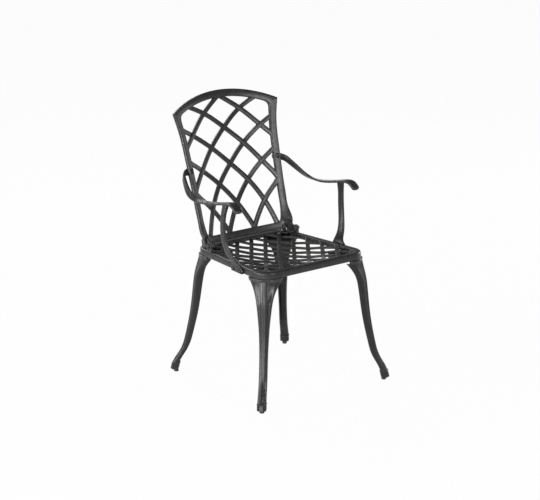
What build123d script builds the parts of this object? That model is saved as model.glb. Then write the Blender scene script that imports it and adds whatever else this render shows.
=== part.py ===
"""Garden armchair cast in aluminium: dished seat, curved lattice back, two arms and four cabriole legs.

Millimetres, +Z up. The front is -Y and the sitter's left is +X.
The origin is on the floor, under the middle of the chair's box.
"""

import os
from math import asin, cos, hypot, radians, sin, sqrt

from build123d import *

# Seat casting
seat_height = 435.0
seat_front_y = -233.65
seat_depth = 407.0
seat_front_width = 440.0
seat_rear_width = 362.0
seat_corner_radius = 55.0
rim_height = 21.5
rim_plate = 7.0
rim_wall = 5.0
rim_width = 22.0
rear_rim_width = 34.0
rim_edge_radius = 5.0
opening_corner_radius = 30.0
web_thickness = 8.0

# Seat lattice
seat_bar_width = 13.0
seat_bar_thickness = 4.5
seat_bar_pitch = 46.3
seat_bar_angle = 52.3
first_crossing = 35.6
lattice_drop = 1.0
lattice_bite = 2.0
dish_depth = 15.0
dish_reach_share = 0.467
dish_centre_share = 0.4865

# Back casting, measured in its own plane above the lower bolts
back_inset = 50.0
back_rise = 17.0
back_recline = 16.1
back_thickness = 12.0
back_hollow = 22.0
back_span = 176.0
arch_height = 487.0
corner_height_share = 0.883
corner_half_width = 213.5
arch_band = 25.0
stile_width_top = 23.5
stile_width_low = 22.0
stile_low_half_width = 176.0
rail_low = -5.0
rail_high = 18.5
back_inner_radius = 16.0

# Back lattice
back_bar_width = 15.0
back_bar_thickness = 9.0
back_bar_recess = 1.5

# Lower joints of the back
low_bolt_half_spacing = 159.0
upstand_width = 20.0
upstand_thickness = 9.0
upstand_above = 15.0
upstand_below = 20.0
cheek_thickness = 8.0
cheek_inset = 8.0
cheek_length = 40.0
cheek_gap = 3.0
ear_radius = 11.0
ear_thickness = 8.0
ear_ahead = 30.0
ear_centre_height = 16.0

# Arms
arm_bolt_height = 238.0
arm_bolt_half_spacing = 177.0
lug_radius = 13.0
spot_face_diameter = 21.0
arm_thickness = 8.0
post_thickness = 12.0
foot_plate_length = 66.0
foot_plate_height = 22.0
foot_plate_thickness = 9.0
foot_plate_share = 0.339
foot_bolt_spacing = 40.0
foot_bolt_drop = 15.5

# Legs
front_leg_reach = 79.0
rear_leg_reach = 86.0
collar_overhang = 5.5
collar_width = 110.0
collar_start = 22.0
collar_step = 6.0
collar_inset = 2.5
leg_wall = 5.0
rib_width = 14.0
rib_proud = 3.0
shoe_height = 24.0
shoe_length = 27.0
shoe_width = 30.0
leg_bolt_spacing = 52.0
leg_bolt_inset = 22.0

# Glides
glide_diameter = 16.0
glide_height = 9.0
glide_edge = 3.0
glide_stud_length = 22.0
insert_diameter = 13.0
insert_length = 14.0

# Fasteners and fits
bolt_large = 8.0
bolt_small = 6.0
hole_clearance = 0.4
head_diameter_large = 14.0
head_height_large = 5.0
head_diameter_small = 11.0
head_height_small = 3.6
counterbore_diameter_upper = 15.5
counterbore_diameter_lower = 20.0
counterbore_depth = 6.0
washer_diameter_large = 18.0
washer_diameter_small = 13.0
washer_thickness = 1.6
nut_width_large = 13.0
nut_height_large = 6.5
nut_width_small = 10.0
nut_height_small = 5.0
thread_clearance = 0.05

# Shape of a leg from the foot to the collar: share of height, share of lean, depth, width
leg_stations = (
    (0.000, -0.01, 24.0, 29.0),
    (0.050, 0.1, 20.5, 28.0),
    (0.135, 0.292, 20.0, 27.5),
    (0.265, 0.452, 21.0, 27.0),
    (0.445, 0.6, 23.0, 29.0),
    (0.625, 0.702, 25.0, 36.0),
    (0.770, 0.768, 26.5, 47.0),
    (0.880, 0.842, 31.0, 62.0),
    (0.950, 0.925, 40.0, 83.0),
    (1.000, 1.0, 49.0, 104.0),
)
leg_top_inset = 16.0

# Line of an arm: out from the seat's side, share of the seat's depth, share of the arm bolt's height,
# blade width, twist
arm_stations = (
    (18.5, 1.0651, 1.0042, 21.0, 90.0),
    (29.1, 1.0418, 0.9811, 22.0, 95.0),
    (36.9, 0.9975, 0.9307, 22.0, 98.0),
    (43.4, 0.9459, 0.8697, 21.0, 95.0),
    (47.7, 0.8894, 0.8109, 19.0, 82.0),
    (48.4, 0.8305, 0.7752, 17.0, 58.0),
    (46.5, 0.7690, 0.7584, 16.5, 33.0),
    (42.2, 0.6978, 0.7542, 17.5, 14.0),
    (37.2, 0.6216, 0.7634, 20.0, 3.0),
    (33.2, 0.5430, 0.7836, 22.0, 0.0),
    (30.7, 0.4668, 0.8080, 23.0, 0.0),
    (29.4, 0.3956, 0.8307, 25.0, 0.0),
    (29.6, 0.3366, 0.8445, 27.0, 0.0),
    (29.8, 0.2899, 0.8382, 28.0, 0.0),
    (29.2, 0.2494, 0.8025, 28.5, 0.0),
    (29.1, 0.2211, 0.7500, 25.0, 0.0),
)

# Line of a post: share of the arm bolt's height, out from the seat's side, share of the seat's depth, width
post_stations = (
    (0.8256, 30.7, 0.4029, 26.0),
    (0.7143, 35.6, 0.4128, 20.5),
    (0.5042, 38.8, 0.4177, 19.5),
    (0.3151, 36.3, 0.4054, 20.0),
    (0.1849, 28.6, 0.3870, 23.0),
    (0.0924, 18.0, 0.3722, 28.0),
    (0.0336, 8.5, 0.3587, 37.0),
    (0.0000, 5.6, 0.3489, 46.0),
)

# Line of the cheek's front edge: behind the stile's foot, above the seat
gusset_line = (
    (37.0, 132.0),
    (22.4, 105.0),
    (12.2, 80.0),
    (3.0, 61.0),
    (-5.0, 50.0),
    (-13.5, 43.5),
    (-22.5, 37.5),
    (-31.0, 31.0),
    (-38.0, 23.0),
    (-40.5, 14.0),
)

# Line of a stile's outer edge: share of its flare, share of the arch's height
stile_line = (
    (0.120, 0.0616),
    (0.200, 0.1335),
    (0.232, 0.2156),
    (0.253, 0.3080),
    (0.293, 0.3901),
    (0.400, 0.5626),
    (0.587, 0.7392),
)

# Lines of the back lattice: share of the upper corner's half width, share of the arch's height;
# each has its mirror image
back_lines = (
    (
        (-0.7042, 0.9261),
        (-0.3427, 0.8542),
        (0.0000, 0.7454),
        (0.3099, 0.6170),
        (0.5798, 0.4795),
        (0.8075, 0.3450),
    ),
    (
        (-0.0657, 0.9815),
        (0.3427, 0.8542),
        (0.6549, 0.7218),
        (0.8732, 0.6201),
    ),
    (
        (-0.9155, 0.7803),
        (-0.6549, 0.7218),
        (-0.3099, 0.6170),
        (0.0000, 0.4969),
        (0.2746, 0.3645),
        (0.5047, 0.2084),
        (0.6667, 0.0123),
    ),
    (
        (-0.8545, 0.5565),
        (-0.5798, 0.4795),
        (-0.2746, 0.3645),
        (0.0000, 0.2269),
        (0.2606, 0.0205),
    ),
    (
        (-0.7981, 0.3285),
        (-0.5047, 0.2084),
        (-0.2183, 0.0205),
    ),
)

os.makedirs("parts", exist_ok=True)

rim_bottom = seat_height - rim_height
seat_rear_y = seat_front_y + seat_depth
side_taper = (seat_rear_width - seat_front_width) / 2 / seat_depth
side_scale = sqrt(1 + side_taper**2)


def side_x(y, inset):
    """Half width of the seat at a depth, inset square to its side."""
    return seat_front_width / 2 + side_taper * (y - seat_front_y) - inset * side_scale


def seat_outline(front, side, rear, radius):
    """Plan outline of the seat, inset from its edges, with rounded corners."""
    low = seat_front_y + front
    high = seat_rear_y - rear
    with BuildSketch() as outline:
        with BuildLine():
            Polyline(
                (side_x(low, side), low),
                (side_x(high, side), high),
                (-side_x(high, side), high),
                (-side_x(low, side), low),
                close=True,
            )
        make_face()
        fillet(outline.vertices(), radius)
    return outline.sketch


def corner_centre(front, side):
    """Centre of a corner's rounding, for the front or the rear and for one side."""
    y = seat_front_y + seat_corner_radius if front else seat_rear_y - seat_corner_radius
    return side * side_x(y, seat_corner_radius), y


def corner_direction(front, side):
    """Outward diagonal of a corner."""
    return side * sqrt(0.5), -sqrt(0.5) if front else sqrt(0.5)


corners = {
    "front_left": (True, 1),
    "front_right": (True, -1),
    "rear_left": (False, 1),
    "rear_right": (False, -1),
}


def leg_reach(front):
    """Distance of a glide out from the seat's rounded corner."""
    return front_leg_reach if front else rear_leg_reach


def leg_plane(name):
    """Plane of a leg: on the floor under its glide, with X along the outward diagonal."""
    front, side = corners[name]
    centre = corner_centre(front, side)
    out = corner_direction(front, side)
    reach = seat_corner_radius + leg_reach(front)
    origin = (centre[0] + out[0] * reach, centre[1] + out[1] * reach, 0)
    return Plane(origin=origin, x_dir=(out[0], out[1], 0), z_dir=(0, 0, 1))


# The back's own plane: X across, Y up along the back, Z forwards
recline = radians(back_recline)
back_plane = Plane(
    origin=(0, seat_rear_y - back_inset, seat_height + back_rise),
    x_dir=(1, 0, 0),
    z_dir=(0, -cos(recline), sin(recline)),
)
back_radius = (back_span**2 + back_hollow**2) / (2 * back_hollow)


def stile_plane(half_spacing, height, side, depth):
    """Plane square to the curved back at a point, a depth behind its front face."""
    angle = asin(half_spacing / back_radius)
    reach = back_radius + depth
    across = side * reach * sin(angle)
    ahead = back_radius - back_hollow - reach * cos(angle)
    here = back_plane.from_local_coords((across, height, ahead))
    tip = back_plane.from_local_coords((across - side * sin(angle), height, ahead + cos(angle)))
    up = back_plane.y_dir
    return Plane(origin=here, x_dir=up.cross(tip - here), z_dir=tip - here)


def side_plane(side, out, z):
    """Plane on a seat side under an arm: X rearwards along the side, Z outwards."""
    y = seat_front_y + foot_plate_share * seat_depth
    normal = Vector(side / side_scale, -side_taper / side_scale, 0)
    origin = Vector(side * side_x(y, 0), y, z) + normal * out
    return Plane(origin=origin, x_dir=(side * side_taper, 1, 0), z_dir=normal)


# Places of the joints between the castings
low_bolts = [(low_bolt_half_spacing, 0.0, side) for side in (1, -1)]
arm_bolts = [(arm_bolt_half_spacing, arm_bolt_height, side) for side in (1, -1)]
cheek_inner_x = stile_low_half_width - cheek_inset
cheek_outer_x = cheek_inner_x + cheek_thickness
stile_face_y = back_plane.origin.Y
ear_y = stile_face_y - ear_ahead
ear_z = seat_height + ear_centre_height

# Dished layer that the seat lattice lies in
dish_reach = dish_reach_share * seat_depth
dish_radius = (dish_reach**2 + dish_depth**2) / (2 * dish_depth)
lattice_top = seat_height - lattice_drop
dish_middle = (0, seat_front_y + dish_centre_share * seat_depth)
layer_size = 2 * max(seat_front_width, seat_depth)
with BuildPart() as dish_upper:
    with Locations((*dish_middle, lattice_top)):
        Box(layer_size, layer_size, 2 * dish_depth + 20, align=(Align.CENTER, Align.CENTER, Align.MAX))
    with Locations((*dish_middle, lattice_top - dish_depth + dish_radius)):
        Sphere(dish_radius, mode=Mode.SUBTRACT)
with BuildPart() as dish_layer:
    add(dish_upper.part)
    add(Pos(0, 0, -seat_bar_thickness) * dish_upper.part, mode=Mode.SUBTRACT)

# Crossing bars of the seat
bar_run = 2 * hypot(seat_front_width, seat_depth)
axis_pitch = seat_bar_pitch / cos(radians(seat_bar_angle))
bar_count = int(bar_run / seat_bar_pitch / 2)
with BuildPart() as seat_lattice:
    with BuildSketch(Plane.XY.offset(lattice_top - 2 * dish_depth - 15)):
        for mirrored in (1, -1):
            for step in range(-bar_count, bar_count + 1):
                y = seat_front_y + first_crossing + step * axis_pitch
                with Locations(Location((0, y, 0), (0, 0, mirrored * seat_bar_angle))):
                    Rectangle(bar_run, seat_bar_width)
        add(
            seat_outline(
                rim_width - lattice_bite,
                rim_width - lattice_bite,
                rear_rim_width - lattice_bite,
                opening_corner_radius + lattice_bite,
            ),
            mode=Mode.INTERSECT,
        )
    extrude(amount=2 * dish_depth + 30)
    add(dish_layer.part, mode=Mode.INTERSECT)

# Seat: rim, lattice, corner webs, ears and upstands
with BuildPart() as seat_panel:
    with BuildSketch(Plane.XY.offset(rim_bottom)):
        add(seat_outline(0, 0, 0, seat_corner_radius))
    extrude(amount=rim_height)
    fillet(seat_panel.faces().sort_by(Axis.Z)[-1].edges(), rim_edge_radius)
    with BuildSketch(Plane.XY.offset(rim_bottom)):
        add(seat_outline(rim_wall, rim_wall, rim_wall, seat_corner_radius - rim_wall))
    extrude(amount=rim_height - rim_plate, mode=Mode.SUBTRACT)
    with BuildSketch(Plane.XY.offset(rim_bottom)):
        add(seat_outline(rim_width, rim_width, rear_rim_width, opening_corner_radius))
    extrude(amount=rim_height, mode=Mode.SUBTRACT)
    add(seat_lattice.part)
    with BuildSketch(Plane.XY.offset(rim_bottom)):
        for front, side in corners.values():
            with Locations(corner_centre(front, side)):
                Circle(seat_corner_radius - rim_wall / 2)
    extrude(amount=web_thickness)
    for side in (1, -1):
        with BuildSketch(Plane.YZ.offset(side * cheek_outer_x)):
            with Locations((ear_y, ear_z)):
                Circle(ear_radius)
                Rectangle(
                    2 * ear_radius,
                    ear_centre_height + rim_plate / 2,
                    align=(Align.CENTER, Align.MAX),
                )
                Circle((bolt_large + hole_clearance) / 2, mode=Mode.SUBTRACT)
        extrude(amount=side * ear_thickness)
    for half_spacing, height, side in low_bolts:
        with BuildSketch(stile_plane(half_spacing, height, side, back_thickness)):
            with Locations((0, (upstand_above - upstand_below) / 2)):
                Rectangle(upstand_width, upstand_above + upstand_below)
        extrude(amount=-upstand_thickness)
        with BuildSketch(stile_plane(half_spacing, height, side, back_thickness)):
            Circle(bolt_large / 2 + thread_clearance)
        extrude(amount=-upstand_thickness, mode=Mode.SUBTRACT)
    for side in (1, -1):
        with BuildSketch(side_plane(side, 0, seat_height - foot_bolt_drop)):
            with GridLocations(foot_bolt_spacing, 0, 2, 1):
                Circle((bolt_small + hole_clearance) / 2)
        extrude(amount=-2 * rim_wall, mode=Mode.SUBTRACT)
    for name, (front, side) in corners.items():
        with BuildSketch(leg_plane(name).offset(rim_bottom)):
            with Locations((-leg_reach(front) - leg_bolt_inset, 0)):
                with GridLocations(0, leg_bolt_spacing, 1, 2):
                    Circle(bolt_small / 2 + thread_clearance)
        extrude(amount=web_thickness, mode=Mode.SUBTRACT)
seat_panel.part.label = "seat_panel"
export_step(seat_panel.part, "parts/seat_panel.step")

# Outline of the back's frame in its own plane
corner_height = corner_height_share * arch_height
flare = corner_half_width - stile_low_half_width
stile_outer = (
    (stile_low_half_width, rail_low),
    *((stile_low_half_width + out * flare, up * arch_height) for out, up in stile_line),
    (corner_half_width, corner_height),
)
stile_inner = tuple(
    (x - stile_width_low + (stile_width_low - stile_width_top) * y / corner_height, y)
    for x, y in stile_outer[2:-1]
)
inner_corner = (corner_half_width - 1.25 * stile_width_top, corner_height - arch_band * 0.45)
inner_low = (stile_low_half_width - stile_width_low, rail_high)


def back_layer(front, thickness):
    """Curved layer of the back, a depth behind its front face."""
    axis = back_plane.from_local_coords((0, arch_height / 2, back_radius - back_hollow))
    plane = Plane(origin=axis, x_dir=(1, 0, 0), z_dir=back_plane.y_dir)
    with BuildPart() as layer:
        with BuildSketch(plane):
            Circle(back_radius + front + thickness)
            Circle(back_radius + front, mode=Mode.SUBTRACT)
            with Locations((0, 0)):
                Rectangle(
                    3 * corner_half_width,
                    2 * back_radius,
                    align=(Align.CENTER, Align.MAX if plane.y_dir.Y < 0 else Align.MIN),
                    mode=Mode.INTERSECT,
                )
        extrude(amount=arch_height, both=True)
    return layer.part


with BuildPart() as back_frame:
    with BuildSketch(back_plane.offset(-3 * back_hollow)):
        with BuildLine():
            Spline(*stile_outer)
            ThreePointArc(stile_outer[-1], (0, arch_height), (-corner_half_width, corner_height))
            Spline(*[(-x, y) for x, y in stile_outer])
            Line((-stile_low_half_width, rail_low), (stile_low_half_width, rail_low))
        make_face()
        with BuildSketch(mode=Mode.PRIVATE) as inner:
            with BuildLine():
                Spline(inner_low, *stile_inner, inner_corner)
                ThreePointArc(inner_corner, (0, arch_height - arch_band), (-inner_corner[0], inner_corner[1]))
                Spline(*[(-x, y) for x, y in (inner_low, *stile_inner, inner_corner)])
                Line((-inner_low[0], inner_low[1]), inner_low)
            make_face()
            fillet(inner.vertices(), back_inner_radius)
        add(inner.sketch, mode=Mode.SUBTRACT)
    extrude(amount=6 * back_hollow)
    add(back_layer(0, back_thickness), mode=Mode.INTERSECT)

def bar_outline(points, width):
    """Flat outline of a bent bar, half its width on either side of a smooth line."""
    curve = Edge.make_spline([Vector(*point) for point in points])
    shares = [step / (2 * len(points)) for step in range(2 * len(points) + 1)]
    left = []
    right = []
    for share in shares:
        here = curve.position_at(share)
        across = curve.tangent_at(share).cross(Vector(0, 0, 1)) * (width / 2)
        left.append(here - across)
        right.append(here + across)
    with BuildSketch() as outline:
        with BuildLine():
            Spline(*left)
            Line(left[-1], right[-1])
            Spline(*right)
            Line(left[0], right[0])
        make_face()
    return outline.sketch


with BuildPart() as back_lattice:
    with BuildSketch(back_plane.offset(-3 * back_hollow)):
        for mirrored in (1, -1):
            for points in back_lines:
                line = [(mirrored * x * corner_half_width, y * arch_height) for x, y in points]
                add(bar_outline(line, back_bar_width))
    extrude(amount=6 * back_hollow)
    add(back_layer(back_bar_recess, back_bar_thickness), mode=Mode.INTERSECT)

# Back: frame, lattice, lower cheeks and bolt holes
with BuildPart() as back_panel:
    add(back_frame.part)
    add(back_lattice.part)
    for side in (1, -1):
        low = seat_height + cheek_gap
        front_y = stile_face_y - cheek_length
        curve = [(stile_face_y + ahead, seat_height + above) for ahead, above in gusset_line]
        with BuildSketch(Plane.YZ.offset(side * cheek_inner_x)):
            with BuildLine():
                Spline(*curve)
                Polyline(
                    curve[-1],
                    (front_y, low),
                    (stile_face_y + 0.5 * back_thickness, low),
                    (curve[0][0] + 0.4 * back_thickness, curve[0][1]),
                    curve[0],
                )
            make_face()
            with Locations((ear_y, ear_z)):
                Circle((bolt_large + hole_clearance) / 2, mode=Mode.SUBTRACT)
        extrude(amount=side * cheek_thickness)
    for half_spacing, height, side in low_bolts:
        with Locations(stile_plane(half_spacing, height, side, 0)):
            CounterBoreHole(
                (bolt_large + hole_clearance) / 2,
                counterbore_diameter_lower / 2,
                counterbore_depth,
                depth=2 * back_thickness,
            )
    for half_spacing, height, side in arm_bolts:
        with Locations(stile_plane(half_spacing, height, side, 0)):
            CounterBoreHole(
                (bolt_large + hole_clearance) / 2,
                counterbore_diameter_upper / 2,
                counterbore_depth,
                depth=2 * back_thickness,
            )
back_panel.part.label = "back_panel"
export_step(back_panel.part, "parts/back_panel.step")


def blade(plane, width, thickness):
    """Rounded section of an arm or a post on its plane."""
    with BuildSketch(plane) as section:
        RectangleRounded(width, thickness, 0.42 * thickness)
    return section.sketch


def arm_point(out, behind, above):
    """Point of the left arm, from its distance out and its shares of depth and height."""
    y = seat_front_y + behind * seat_depth
    return Vector(side_x(y, 0) + out, y, seat_height + above * arm_bolt_height)


def arm_planes():
    """Planes square to the line of the left arm, from the stile to the tip."""
    lug = stile_plane(arm_bolt_half_spacing, arm_bolt_height, 1, back_thickness + arm_thickness / 2)
    points = [lug.origin, lug.origin + lug.x_dir * (0.7 * lug_radius)]
    widths = [1.7 * lug_radius, 1.6 * lug_radius]
    planes = [Plane(origin=point, x_dir=lug.y_dir, z_dir=lug.x_dir) for point in points]
    for out, behind, above, width, twist in arm_stations:
        points.append(arm_point(out, behind, above))
        widths.append(width)
    for index in range(2, len(points)):
        after = points[min(index + 1, len(points) - 1)]
        along = (after - points[index - 1]).normalized()
        level = Vector(0, 0, 1).cross(along).normalized()
        rise = along.cross(level)
        turn = radians(arm_stations[index - 2][-1])
        x_dir = level * cos(turn) + rise * sin(turn)
        planes.append(Plane(origin=points[index], x_dir=x_dir, z_dir=along))
    return planes, widths


# Left arm: lug, blade, post and foot plate
with BuildPart() as arm_left:
    planes, widths = arm_planes()
    loft([blade(plane, width, arm_thickness) for plane, width in zip(planes, widths)])
    fillet(arm_left.faces().sort_by(Axis.Y)[0].edges(), 0.3 * arm_thickness)
    loft(
        [
            blade(
                Plane(origin=arm_point(out, behind, above), x_dir=(side_taper, 1, 0), z_dir=(0, 0, 1)),
                width,
                post_thickness,
            )
            for above, out, behind, width in post_stations
        ]
    )
    with BuildSketch(stile_plane(arm_bolt_half_spacing, arm_bolt_height, 1, back_thickness)):
        Circle(lug_radius)
    extrude(amount=-arm_thickness)
    with BuildSketch(side_plane(1, 0, seat_height - foot_plate_height / 2)):
        RectangleRounded(foot_plate_length, foot_plate_height, 4)
    extrude(amount=foot_plate_thickness)
    with BuildSketch(stile_plane(arm_bolt_half_spacing, arm_bolt_height, 1, back_thickness)):
        Circle((bolt_large + hole_clearance) / 2)
    extrude(amount=-2 * arm_thickness, mode=Mode.SUBTRACT)
    with BuildSketch(stile_plane(arm_bolt_half_spacing, arm_bolt_height, 1, back_thickness + arm_thickness)):
        Circle(spot_face_diameter / 2)
    extrude(amount=-2 * arm_thickness, mode=Mode.SUBTRACT)
    with BuildSketch(stile_plane(arm_bolt_half_spacing, arm_bolt_height, 1, back_thickness)):
        Circle(2 * lug_radius)
    extrude(amount=back_thickness, mode=Mode.SUBTRACT)
    with BuildSketch(side_plane(1, 0, seat_height - foot_bolt_drop)):
        with GridLocations(foot_bolt_spacing, 0, 2, 1):
            Circle((bolt_small + hole_clearance) / 2)
    extrude(amount=2 * foot_plate_thickness, mode=Mode.SUBTRACT)
arm_left.part.label = "arm_left"
export_step(arm_left.part, "parts/arm_left.step")

# Right arm, the mirror image
with BuildPart() as arm_right:
    mirror(arm_left.part, about=Plane.YZ)
arm_right.part.label = "arm_right"
export_step(arm_right.part, "parts/arm_right.step")

# Heights of a leg
collar_low = rim_bottom - 2 * collar_step
shoe_low = glide_height
shoe_top = shoe_low + shoe_height
leg_run = collar_low + collar_step / 2 - shoe_top


def leg_section(reach, share, lean, depth, width):
    """Rounded section of a leg at a share of its height."""
    with BuildSketch(Plane.XY.offset(shoe_top + share * leg_run)) as section:
        with Locations((-lean * (reach + leg_top_inset), 0)):
            RectangleRounded(depth, width, 0.36 * min(depth, width))
    return section.sketch


def hollow_section(reach, share, lean, depth, width):
    """Section of a leg's open hollow, which breaks out of its inner side."""
    room = depth - leg_wall
    with BuildSketch(Plane.XY.offset(shoe_top + share * leg_run)) as section:
        with Locations((-lean * (reach + leg_top_inset) - leg_wall, 0)):
            RectangleRounded(room, width - 2 * leg_wall, 0.2 * room)
    return section.sketch


def rib_section(reach, share, lean, depth, width):
    """Section of the rib along a leg's outer ridge."""
    with BuildSketch(Plane.XY.offset(shoe_top + share * leg_run)) as section:
        with Locations((-lean * (reach + leg_top_inset) + depth / 2 - rib_proud, 0)):
            RectangleRounded(4 * rib_proud, rib_width, rib_proud)
    return section.sketch


def make_leg(reach):
    """Leg standing with its glide's axis at the origin and its outward diagonal along X."""
    with BuildPart() as leg:
        loft([leg_section(reach, *station) for station in leg_stations])
        loft([rib_section(reach, *station) for station in leg_stations[1:-1]])
        loft([hollow_section(reach, *station) for station in leg_stations[2:]], mode=Mode.SUBTRACT)
        for step in range(2):
            inset = step * collar_inset
            with BuildSketch(Plane.XY.offset(rim_bottom - (step + 1) * collar_step)):
                with Locations((-reach - seat_corner_radius, 0)):
                    Circle(seat_corner_radius + collar_overhang - inset)
                with Locations((-reach - seat_corner_radius + collar_start, 0)):
                    Rectangle(
                        2 * seat_corner_radius,
                        collar_width - 2 * inset,
                        align=(Align.MIN, Align.CENTER),
                        mode=Mode.INTERSECT,
                    )
            extrude(amount=collar_step)
        with BuildSketch(Plane.XY.offset(shoe_low)):
            RectangleRounded(shoe_length, shoe_width, 6)
        extrude(amount=shoe_height)
        with BuildSketch(Plane.XY.offset(shoe_low)):
            Circle(bolt_large / 2 + thread_clearance)
        extrude(amount=glide_stud_length + 2, mode=Mode.SUBTRACT)
        with BuildSketch(Plane.XY.offset(shoe_low)):
            Circle(insert_diameter / 2)
        extrude(amount=insert_length, mode=Mode.SUBTRACT)
        for low, high, diameter in (
            (collar_low, rim_bottom, bolt_small + hole_clearance),
            (collar_low - head_height_small - washer_thickness, collar_low, washer_diameter_small + 1),
        ):
            with BuildSketch(Plane.XY.offset(low)):
                with Locations((-reach - leg_bolt_inset, 0)):
                    with GridLocations(0, leg_bolt_spacing, 1, 2):
                        Circle(diameter / 2)
            extrude(amount=high - low, mode=Mode.SUBTRACT)
    return leg.part


# Legs at the four corners
for name, (front, side) in corners.items():
    with BuildPart(leg_plane(name)) as leg:
        add(make_leg(leg_reach(front)))
    leg.part.label = "leg_" + name
    export_step(leg.part, "parts/leg_" + name + ".step")

# Glides: rounded plug and threaded stud
for name in corners:
    with BuildPart() as glide:
        with BuildSketch(leg_plane(name)):
            Circle(glide_diameter / 2)
        extrude(amount=glide_height)
        fillet(glide.edges().sort_by(Axis.Z)[0], glide_edge)
        with BuildSketch(leg_plane(name).offset(glide_height)):
            Circle(bolt_large / 2)
        extrude(amount=glide_stud_length)
    glide.part.label = "glide_" + name
    export_step(glide.part, "parts/glide_" + name + ".step")

# Threaded inserts in the feet
with BuildPart() as glide_inserts:
    for name in corners:
        with BuildSketch(leg_plane(name).offset(glide_height)):
            Circle(insert_diameter / 2)
            Circle(bolt_large / 2 + thread_clearance, mode=Mode.SUBTRACT)
        extrude(amount=insert_length)
glide_inserts.part.label = "glide_inserts"
export_step(glide_inserts.part, "parts/glide_inserts.step")


def disc(plane, diameter, height, bore):
    """Flat washer on a plane, standing along its normal."""
    with BuildPart() as piece:
        with BuildSketch(plane):
            Circle(diameter / 2)
            Circle(bore / 2, mode=Mode.SUBTRACT)
        extrude(amount=height)
    return piece.part


def nut(plane, width, height, bore):
    """Hexagon nut on a plane, standing along its normal."""
    with BuildPart() as piece:
        with BuildSketch(plane):
            RegularPolygon(width / 2, 6, major_radius=False)
            Circle(bore / 2, mode=Mode.SUBTRACT)
        extrude(amount=height)
    return piece.part


def bolt(plane, diameter, head_diameter, head_height, length):
    """Round-headed bolt: head standing on the plane, shank going down from it."""
    with BuildPart() as piece:
        with BuildSketch(plane):
            Circle(head_diameter / 2)
        extrude(amount=head_height)
        with BuildSketch(plane):
            Circle(diameter / 2)
        extrude(amount=-length)
        with BuildSketch(plane.offset(head_height)):
            RegularPolygon(0.3 * diameter, 6, major_radius=False)
        extrude(amount=-0.6 * head_height, mode=Mode.SUBTRACT)
    return piece.part


bore_large = bolt_large + 2 * thread_clearance
bore_small = bolt_small + 2 * thread_clearance

# Upper joints: stile to arm
stack = back_thickness + arm_thickness
with BuildPart() as arm_back_bolts:
    for place in arm_bolts:
        length = stack - counterbore_depth + washer_thickness + nut_height_large
        plane = stile_plane(*place, counterbore_depth)
        add(bolt(plane, bolt_large, head_diameter_large, head_height_large, length))
arm_back_bolts.part.label = "arm_back_bolts"
export_step(arm_back_bolts.part, "parts/arm_back_bolts.step")

with BuildPart() as arm_back_washers:
    for place in arm_bolts:
        plane = stile_plane(*place, stack + washer_thickness)
        add(disc(plane, washer_diameter_large, washer_thickness, bore_large))
arm_back_washers.part.label = "arm_back_washers"
export_step(arm_back_washers.part, "parts/arm_back_washers.step")

with BuildPart() as arm_back_nuts:
    for place in arm_bolts:
        depth = stack + washer_thickness + nut_height_large
        add(nut(stile_plane(*place, depth), nut_width_large, nut_height_large, bore_large))
arm_back_nuts.part.label = "arm_back_nuts"
export_step(arm_back_nuts.part, "parts/arm_back_nuts.step")

# Lower joints: stile to the tapped upstand
low_stack = back_thickness + upstand_thickness
with BuildPart() as back_front_bolts:
    for place in low_bolts:
        length = low_stack - counterbore_depth
        plane = stile_plane(*place, counterbore_depth)
        add(bolt(plane, bolt_large, head_diameter_large, head_height_large, length))
back_front_bolts.part.label = "back_front_bolts"
export_step(back_front_bolts.part, "parts/back_front_bolts.step")


def ear_plane(side, out):
    """Plane across the ear bolt, a distance out from the cheek's inner face."""
    return Plane(
        origin=(side * (cheek_inner_x + out), ear_y, ear_z),
        x_dir=(0, side, 0),
        z_dir=(side, 0, 0),
    )


# Side joints: cheek to ear
ear_stack = cheek_thickness + ear_thickness
with BuildPart() as back_side_washers:
    for side in (1, -1):
        add(disc(ear_plane(side, ear_stack), washer_diameter_large, washer_thickness, bore_large))
back_side_washers.part.label = "back_side_washers"
export_step(back_side_washers.part, "parts/back_side_washers.step")

with BuildPart() as back_side_bolts:
    for side in (1, -1):
        length = ear_stack + washer_thickness + nut_height_large
        plane = ear_plane(side, ear_stack + washer_thickness)
        add(bolt(plane, bolt_large, head_diameter_large, head_height_large, length))
back_side_bolts.part.label = "back_side_bolts"
export_step(back_side_bolts.part, "parts/back_side_bolts.step")

with BuildPart() as back_side_nuts:
    for side in (1, -1):
        add(nut(ear_plane(side, -nut_height_large), nut_width_large, nut_height_large, bore_large))
back_side_nuts.part.label = "back_side_nuts"
export_step(back_side_nuts.part, "parts/back_side_nuts.step")

# Arm foot plates to the seat's sides
plate_stack = foot_plate_thickness + rim_wall
with BuildPart() as arm_seat_bolts:
    for side in (1, -1):
        for step in (-0.5, 0.5):
            face = side_plane(side, foot_plate_thickness, seat_height - foot_bolt_drop)
            plane = Plane(
                origin=face.from_local_coords((step * foot_bolt_spacing, 0, 0)),
                x_dir=face.x_dir,
                z_dir=face.z_dir,
            )
            length = plate_stack + nut_height_small
            add(bolt(plane, bolt_small, head_diameter_small, head_height_small, length))
arm_seat_bolts.part.label = "arm_seat_bolts"
export_step(arm_seat_bolts.part, "parts/arm_seat_bolts.step")

with BuildPart() as arm_seat_nuts:
    for side in (1, -1):
        for step in (-0.5, 0.5):
            face = side_plane(side, -rim_wall - nut_height_small, seat_height - foot_bolt_drop)
            plane = Plane(
                origin=face.from_local_coords((step * foot_bolt_spacing, 0, 0)),
                x_dir=face.x_dir,
                z_dir=face.z_dir,
            )
            add(nut(plane, nut_width_small, nut_height_small, bore_small))
arm_seat_nuts.part.label = "arm_seat_nuts"
export_step(arm_seat_nuts.part, "parts/arm_seat_nuts.step")


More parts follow.
